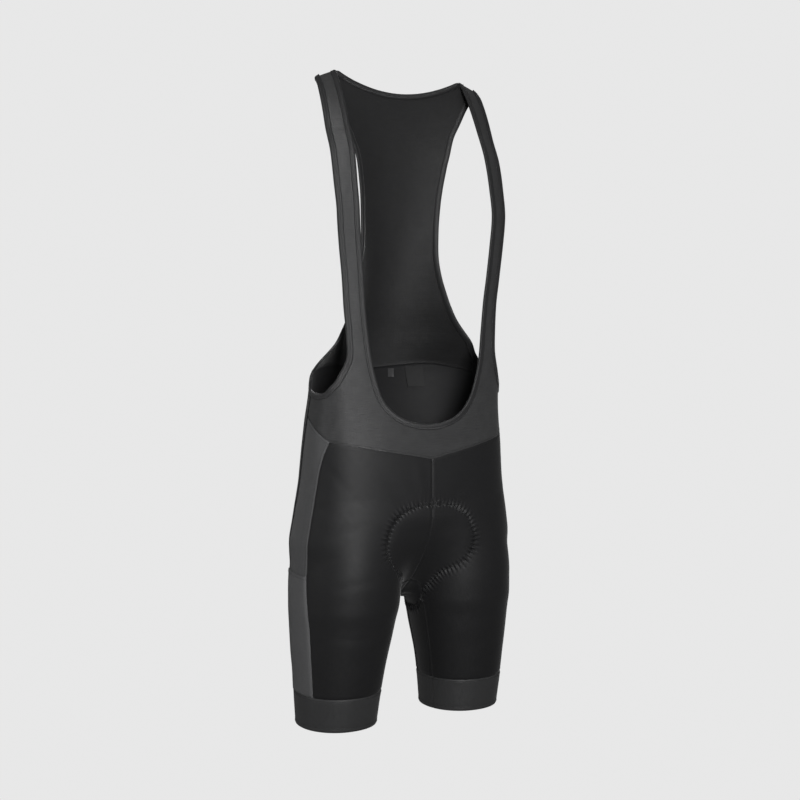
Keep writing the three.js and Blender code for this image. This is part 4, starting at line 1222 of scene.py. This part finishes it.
def add_back_mesh():
    """The mesh's lowest part bends in to meet the back panel's top edge."""
    outer, inner, _ = upper_patch(back_places, ["bottom"])
    points = upper_points(back_places)
    edge = back_right[0][np.argsort(back_right[0][:, 0])]
    x = points[-1, :, 0]
    target = np.stack([x] + [np.interp(x, edge[:, 0], edge[:, k]) for k in (1, 2)], -1)
    bend = smooth_step(MESH_BEND_FROM, 1, np.linspace(0, 1, MESH_ROWS + 1))[:, None, None]
    outer = outer + (target - points[-1]) * bend
    inner = inner + (target - points[-1]) * bend
    half = (outer, inner, outer[..., [0, 2]])
    piece = cloth_mesh("back_mesh_knit", [half, flip_patch(half)], MESH_KNIT)
    declare_cloth(piece, "back_mesh", MESH_FLAT)
    return outer


mesh_right = add_back_mesh()

# The bindings: a stretch tape folded round each free edge and sewn through with two rows of thread.

TAPE_KNIT = knit("stretch_tape", (0.019, 0.019, 0.0198), 0.0008, 0.0001, 0.5, 0.14, 0.1)
TAPE_WIDTH = 7.6
TAPE_CLOTH = 0.9
TAPE_CLEAR = 0.15
TAPE_STEP = 1.1


def tape_profile():
    """The tape's section: how far in from the edge, and how far out from the cloth, all the way round."""
    out, under = TAPE_CLEAR + TAPE_CLOTH, -CLOTH - TAPE_CLEAR
    back = -CLOTH - TAPE_CLEAR - TAPE_CLOTH
    wide = TAPE_WIDTH
    outer = [(wide, out - 0.5), (wide - 0.5, out), (5.6, out + 0.1), (4.4, out - 0.22), (3.2, out + 0.25),
             (1.4, out + 0.3), (0, out + 0.1), (-1.0, out - 0.5), (-1.35, -CLOTH / 2), (-1.0, back + 0.5),
             (0, back - 0.1), (3.2, back - 0.2), (wide - 0.6, back), (wide - 0.2, back + 0.5)]
    inner = [(wide - 0.3, under), (3.5, under), (0.2, under), (-0.3, -CLOTH / 2),
             (0.2, TAPE_CLEAR), (3.5, TAPE_CLEAR), (wide - 0.3, TAPE_CLEAR)]
    return np.array(outer + inner)


def inward_places(places, side, reach):
    """Places a distance in from an edge, square to it on the cloth."""
    points = upper_points(places)
    tangent = unit(np.gradient(points, axis=0))
    square = unit(np.cross(tangent, upper_normals(places))) * side * reach
    d = TURN_STEP
    per_turn = (upper_points(places + [d, 0]) - upper_points(places - [d, 0])) / (2 * d)
    per_height = upper_points(places - [0, 1]) - upper_points(places - [0, 2])
    tt, hh = (per_turn ** 2).sum(-1), (per_height ** 2).sum(-1)
    th = (per_turn * per_height).sum(-1)
    st, sh = (square * per_turn).sum(-1), (square * per_height).sum(-1)
    scale = tt * hh - th * th
    return places + np.stack([(st * hh - sh * th) / scale, (sh * tt - st * th) / scale], -1)


def tape_grid(places, side):
    """Sweeps the tape's section along an edge. At the shoulder it turns upright, to meet the other tape."""
    rings = []
    for reach, height in tape_profile():
        at = inward_places(places, side, reach)
        level = np.minimum(at[:, 1], -shoulder_drop(SHOULDER_INNER + 0 * at[:, 0]))
        at = np.stack([at[:, 0], level], -1)
        points, normals = upper_points(at), upper_normals(at)
        below = np.maximum(-points[:, 2] - shoulder_drop(points[:, 0]), 0)
        in_front = at[:, 0] < 1
        points[in_front, 2] = np.minimum(points[:, 2], -shoulder_drop(points[:, 0]))[in_front]
        upright = np.exp(-below / MITRE_REACH)[:, None] * (np.abs(points[:, :1]) > SHOULDER_INNER - 2)
        deep = height * (SHOULDER_DEPTH if height < 0 else 1)
        rings.append(points + normals * height * (1 - upright) - SHOULDER_UP * deep * upright)
    return np.stack(rings, 1)


def tape_mesh(name, grids, node):
    """Closes each swept section into a tube with capped ends."""
    points, faces, uvs = [], [], []
    start = 0
    for grid in grids:
        rows, sides = grid.shape[:2]
        index = start + np.arange(rows * sides).reshape(rows, sides)
        index = np.concatenate([index, index[:, :1]], 1)
        faces.append(quads_of(index))
        half = sides // 3
        for row, turned in ((index[0, :-1], True), (index[-1, :-1], False)):
            for k in range(half):
                a, b, c, d = k, k + 1, sides - 2 - k, sides - 1 - k
                if b < c:
                    cap = row[[a, b, c, d]]
                    faces.append((cap[::-1] if turned else cap)[None])
        across, run = np.meshgrid(np.arange(sides) * TAPE_STEP, run_lengths(grid[:, 0]))
        uvs.append(np.stack([across, run], -1).reshape(-1, 2))
        points.append(grid.reshape(-1, 3))
        start += rows * sides
    points, uvs = np.concatenate(points) * MM, np.concatenate(uvs) * MM
    piece = mesh_piece(name, points, np.concatenate(faces), uvs, TAPE_KNIT)
    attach(piece, "root")
    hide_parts(node)
    area = half_area(piece)


NECK_RUN = 260
ARM_RUN = 520
neck_front = resample(neck_path, NECK_RUN)
arm_loop = resample(arm_path, ARM_RUN)
back_neck_x = np.linspace(SHOULDER_INNER - 1.5, 0, 50)
back_neck = at_x(back_neck_x, neck_top(back_neck_x), True)


def add_bindings():
    front = tape_grid(neck_front, 1)
    whole = np.concatenate([front, mirror(front)[::-1][1:]])
    tape_mesh("neck_tape_front", [whole], "neck_binding_front")
    behind = tape_grid(back_neck, -1)
    whole = np.concatenate([behind, mirror(behind)[::-1][1:]])
    tape_mesh("neck_tape_back", [whole], "neck_binding_back")
    arm = tape_grid(arm_loop, -1)
    for side, loop in (("right", arm), ("left", mirror(arm))):
        tape_mesh(f"armhole_tape_{side}", [loop], f"armhole_binding_{side}")


add_bindings()

# The seat pad: foam under a brushed cover, 8 mm thick, with pressed channels along it. The zigzag seam
# that shows outside holds it in the crotch.

PAD_COVER = knit("brushed_pad_cover", (0.020, 0.020, 0.0212), 0.0016, 0.0002, 0.85, 0.25, 0.14)
PAD_CLEAR = 3.6
PAD_THICK = 8
PAD_RIM = 1.4
CHANNELS = [
    # share of the half width, depth, width in shares
    (0.0, 3.2, 0.10),
    (0.42, 2.2, 0.055),
    (0.80, 1.8, 0.05),
]


def add_pad():
    runs = np.linspace(0, PAD_LENGTH, 150)
    shares = np.linspace(0, 1, 34)
    half = onto_body(pad_places(runs, shares))
    half[:, 0, 0] = 0
    grid = np.concatenate([mirror(half)[:, :0:-1], half], 1)
    across = np.abs(np.concatenate([-shares[:0:-1], shares]))[None]
    ends = np.minimum(runs, PAD_LENGTH - runs)[:, None]
    rim = smooth_step(0, 0.16, 1 - across) * smooth_step(0, 12, ends)
    thick = PAD_RIM + (PAD_THICK - PAD_RIM) * rim
    for share, depth, width in CHANNELS:
        thick = thick - depth * fade_out(across - share, width) * rim
    normals = unit(body_slope(grid))
    top = inner_relief(crease_relief(grid) + pad_relief(grid)) - PAD_CLEAR
    outer = grid + normals * top[..., None]
    inner = grid + normals * (top - thick)[..., None]
    piece = cloth_mesh("seat_pad_foam", [(outer, inner, knit_uv(grid))], PAD_COVER)
    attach(piece, "root")
    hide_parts("seat_pad")


add_pad()

# The care label and the hanging tab, both woven, plain, and sewn in under the back mesh seam by their top.

LABEL_WEAVE = knit("woven_label", (0.012, 0.012, 0.0125), 0.0004, 0.00004, 0.7, 0.05, 0.05)
TAB_WEAVE = knit("woven_tab", (0.035, 0.035, 0.036), 0.0006, 0.00006, 0.5, 0.08, 0.08)
LABELS = [
    # node, top edge, bottom edge, top and bottom heights, how far the bottom stands off, material
    ("size_label", (55, 82), (63, 90), (-439, -472), 1.3, LABEL_WEAVE),
    ("hang_tab", (27, 37), (28, 38), (-443, -456), 0.8, TAB_WEAVE),
]


def add_labels():
    down, across = np.meshgrid(np.linspace(0, 1, 18), np.linspace(0, 1, 14), indexing="ij")
    for node, top, bottom, (start, end), stand_off, material in LABELS:
        x = mix(mix(top[0], top[1], across), mix(bottom[0], bottom[1], across), down)
        z = mix(start, end, down)
        middle = np.stack([x, np.full_like(x, CORE_Y), z], -1)
        flat = middle.reshape(-1, 3)
        grid = surface_along(flat, np.broadcast_to([0.0, 1, 0], flat.shape)).reshape(middle.shape)
        normals = unit(body_slope(grid))
        curl = stand_off * (down ** 2 + 0.5 * (2 * across - 1) ** 2 * down)
        outer = grid - normals * (CLOTH + 0.75 + curl)[..., None]
        inner = grid - normals * (CLOTH + 1.25 + curl)[..., None]
        uv = np.stack([across * (top[1] - top[0]), z], -1)
        piece = cloth_mesh(f"{node}_weave", [(outer, inner, uv)], material)
        flat_size = ((top[1] - top[0]) * 1.04 * MM, (start - end) * 1.06 * MM)
        declare_cloth(piece, node, flat_size)


add_labels()

# The sewing: cover stitches beside the flat seams, two rows on each binding, a row at the hems, and the
# zigzag that holds the pad. Each row is a path with a stitch at each point.


def thread_material(name, tone):
    material = bpy.data.materials.new(name)
    material.use_nodes = True
    tree = material.node_tree
    shader = tree.nodes["Principled BSDF"]
    shader.inputs["Roughness"].default_value = 0.6
    shader.inputs["Specular IOR Level"].default_value = 0.2
    place = tree.nodes.new("ShaderNodeTexCoord")
    grain = tree.nodes.new("ShaderNodeTexNoise")
    grain.inputs["Scale"].default_value = 1600
    tree.links.new(place.outputs["Object"], grain.inputs["Vector"])
    uneven = map_range(tree, grain.outputs["Fac"], 0.6, 1.4)
    tree.links.new(multiply_colours(tree, 1, (*tone, 1), uneven), shader.inputs["Base Color"])
    return material


def stitch_tree():
    """Puts a stitch at each point, turned along its path and lying on the cloth."""
    tree = bpy.data.node_groups.new("stitches", "GeometryNodeTree")
    sockets = [("Path", "NodeSocketGeometry"), ("Length", "NodeSocketFloat"), ("Width", "NodeSocketFloat"),
               ("Height", "NodeSocketFloat"), ("Seed", "NodeSocketInt"), ("Thread", "NodeSocketMaterial")]
    for name, kind in sockets:
        tree.interface.new_socket(name, in_out="INPUT", socket_type=kind)
    tree.interface.new_socket("Stitches", in_out="OUTPUT", socket_type="NodeSocketGeometry")
    nodes, links = tree.nodes, tree.links
    given = nodes.new("NodeGroupInput")
    result = nodes.new("NodeGroupOutput")
    points = nodes.new("GeometryNodeMeshToPoints")
    links.new(given.outputs["Path"], points.inputs["Mesh"])
    stitch = nodes.new("GeometryNodeMeshUVSphere")
    stitch.inputs["Segments"].default_value = 6
    stitch.inputs["Rings"].default_value = 3
    stitch.inputs["Radius"].default_value = 0.5

    def vector_named(name):
        node = nodes.new("GeometryNodeInputNamedAttribute")
        node.data_type = "FLOAT_VECTOR"
        node.inputs["Name"].default_value = name
        return node.outputs["Attribute"]

    turn = nodes.new("FunctionNodeAlignRotationToVector")
    turn.axis = "X"
    links.new(vector_named("along"), turn.inputs["Vector"])
    lie = nodes.new("FunctionNodeAlignRotationToVector")
    lie.axis = "Z"
    lie.pivot_axis = "X"
    links.new(turn.outputs[0], lie.inputs["Rotation"])
    links.new(vector_named("square"), lie.inputs["Vector"])
    vary = nodes.new("FunctionNodeRandomValue")
    vary.data_type = "FLOAT"
    vary.inputs[2].default_value = 0.88
    vary.inputs[3].default_value = 1.04
    links.new(given.outputs["Seed"], vary.inputs["Seed"])
    longer = nodes.new("ShaderNodeMath")
    longer.operation = "MULTIPLY"
    links.new(given.outputs["Length"], longer.inputs[0])
    links.new(vary.outputs[1], longer.inputs[1])
    size = nodes.new("ShaderNodeCombineXYZ")
    links.new(longer.outputs[0], size.inputs["X"])
    links.new(given.outputs["Width"], size.inputs["Y"])
    links.new(given.outputs["Height"], size.inputs["Z"])
    place = nodes.new("GeometryNodeInstanceOnPoints")
    links.new(points.outputs[0], place.inputs["Points"])
    links.new(stitch.outputs["Mesh"], place.inputs["Instance"])
    links.new(lie.outputs[0], place.inputs["Rotation"])
    links.new(size.outputs[0], place.inputs["Scale"])
    real = nodes.new("GeometryNodeRealizeInstances")
    links.new(place.outputs[0], real.inputs[0])
    paint = nodes.new("GeometryNodeSetMaterial")
    links.new(real.outputs[0], paint.inputs["Geometry"])
    links.new(given.outputs["Thread"], paint.inputs["Material"])
    links.new(paint.outputs[0], result.inputs[0])
    return tree


STITCHES = stitch_tree()
STITCH_PITCH = 2.6
STITCH_CLEAR = 0.05
SEAM_REACH = 3.1
SEAM_STITCH = (2.1, 0.45, 0.4)
TAPE_THREADS = [
    # distance in from the edge, height
    (4.4, 0.95),
    (6.7, 1.2),
]
ZIGZAG_WIDTH = 5.2
ZIGZAG_CLEAR = 0.35
ZIGZAG_STITCH = (6.2, 0.7, 0.6)


def stitch_row(points, normals):
    """Even places along a path on the cloth: the points, the way along, and the way out."""
    lengths = run_lengths(points)
    at = np.arange(STITCH_PITCH / 2, lengths[-1], STITCH_PITCH)
    place = np.stack([np.interp(at, lengths, points[:, k]) for k in range(3)], -1)
    square = unit(np.stack([np.interp(at, lengths, normals[:, k]) for k in range(3)], -1))
    return place, unit(np.gradient(place, axis=0)), square


def both_sides(rows):
    return rows + [tuple(mirror(part) for part in row) for row in rows]


def add_stitches(name, rows, size, thread):
    points, along, square = (np.concatenate([row[k] for row in rows]) for k in range(3))
    mesh = bpy.data.meshes.new(name)
    mesh.vertices.add(len(points))
    mesh.vertices.foreach_set("co", (points * MM).ravel())
    for label, values in (("along", along), ("square", square)):
        mesh.attributes.new(label, "FLOAT_VECTOR", "POINT").data.foreach_set("vector", values.ravel())
    piece = bpy.data.objects.new(name, mesh)
    bpy.context.collection.objects.link(piece)
    modifier = piece.modifiers.new("stitches", "NODES")
    modifier.node_group = STITCHES
    values = {"Seed": 3, "Thread": thread}
    for label, value in zip(("Length", "Width", "Height"), size):
        values[label] = value * MM
    for item in STITCHES.interface.items_tree:
        if item.in_out == "INPUT" and item.name in values:
            modifier[item.identifier] = values[item.name]
    ready = piece.evaluated_get(bpy.context.evaluated_depsgraph_get())
    piece.data = bpy.data.meshes.new_from_object(ready)
    piece.modifiers.clear()
    piece.data.polygons.foreach_set("use_smooth", [True] * len(piece.data.polygons))
    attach(piece, "root")


def beside_edge(grid, edge, reach):
    """A path on a panel, a distance in from one edge."""
    sheet = grid if edge in ("first", "last") else grid.transpose(1, 0, 2)
    if edge in ("last", "bottom"):
        sheet = sheet[:, ::-1]
    path = []
    for line in sheet:
        lengths = run_lengths(line)
        path.append([np.interp(reach, lengths, line[:, k]) for k in range(3)])
    return np.array(path)


def lower_stitches(grid, edge, reach=SEAM_REACH, raised=0.0):
    path = onto_body(beside_edge(grid, edge, reach))
    normals = unit(body_slope(path))
    rise = crease_relief(path) + pad_relief(path) + seam_profile(reach) + raised + STITCH_CLEAR
    return stitch_row(path + normals * rise[:, None], normals)


def upper_stitches(places, rise):
    normals = upper_normals(places)
    points = upper_points(places)
    return stitch_row(points + normals * (rise + crease_relief(points))[:, None], normals)


def zigzag_rows():
    """The pad's zigzag: a long stitch from each corner to the next, from side to side of the outline."""
    corners = np.arange(0, len(outline), STEPS_A_PUCKER // 2)
    side = np.where(np.arange(len(corners)) % 2, 1.0, -1.0)[:, None]
    ends = onto_body(outline[corners] + outline_out[corners] * side * ZIGZAG_WIDTH / 2)
    ends = ends + unit(body_slope(ends)) * (pad_relief(ends) + ZIGZAG_CLEAR)[:, None]
    after = np.roll(ends, -1, 0)
    middle = (ends + after) / 2
    return [(middle, unit(after - ends), unit(body_slope(middle)))]


LOWER_THREADS = [
    # grid, edge
    (front_right, "first"),
    (front_right, "last"),
    (front_right, "top"),
    (side_right, "first"),
    (side_right, "last"),
    (side_right, "top"),
    (back_right, "first"),
    (back_right, "last"),
    (back_right, "top"),
    (gusset_right, "first"),
    (gusset_right, "last"),
]
seam_thread = thread_material("seam_thread", (0.009, 0.009, 0.0095))
bib_thread = thread_material("bib_thread", (0.020, 0.020, 0.021))
pad_thread = thread_material("pad_thread", (0.012, 0.012, 0.0125))
seam_rows = [lower_stitches(grid, edge) for grid, edge in LOWER_THREADS]
add_stitches("seam_stitches", both_sides(seam_rows), SEAM_STITCH, seam_thread)

BIB_REACH = 3.2
belt_low = np.array([[np.interp(BIB_REACH, run_lengths(upper_points(column)), column[:, k]) for k in range(2)]
                     for column in belt_places[::-1].transpose(1, 0, 2)])
mesh_low = beside_edge(mesh_right, "bottom", BIB_REACH)
mesh_low_out = unit(body_slope(mesh_low))
bib_rows = [upper_stitches(belt_low, 0.3), stitch_row(mesh_low + mesh_low_out * 0.1, mesh_low_out)]
for path, side, threads in ((neck_front, 1, TAPE_THREADS), (arm_loop, -1, TAPE_THREADS),
                            (back_neck, -1, TAPE_THREADS[:1])):
    bib_rows += [upper_stitches(inward_places(path, side, reach), height) for reach, height in threads]
add_stitches("bib_stitches", both_sides(bib_rows), SEAM_STITCH, bib_thread)

hem_rows = [
    lower_stitches(band_right, "top", 2.6, BAND_OVERLAP),
    lower_stitches(band_right, "bottom", BAND_STITCH, 0.5),
    lower_stitches(pocket_right, "top", POCKET_STITCH, POCKET_LIFT + 0.3),
]
add_stitches("hem_stitches", both_sides(hem_rows), SEAM_STITCH, seam_thread)
add_stitches("pad_stitches", zigzag_rows(), ZIGZAG_STITCH, pad_thread)
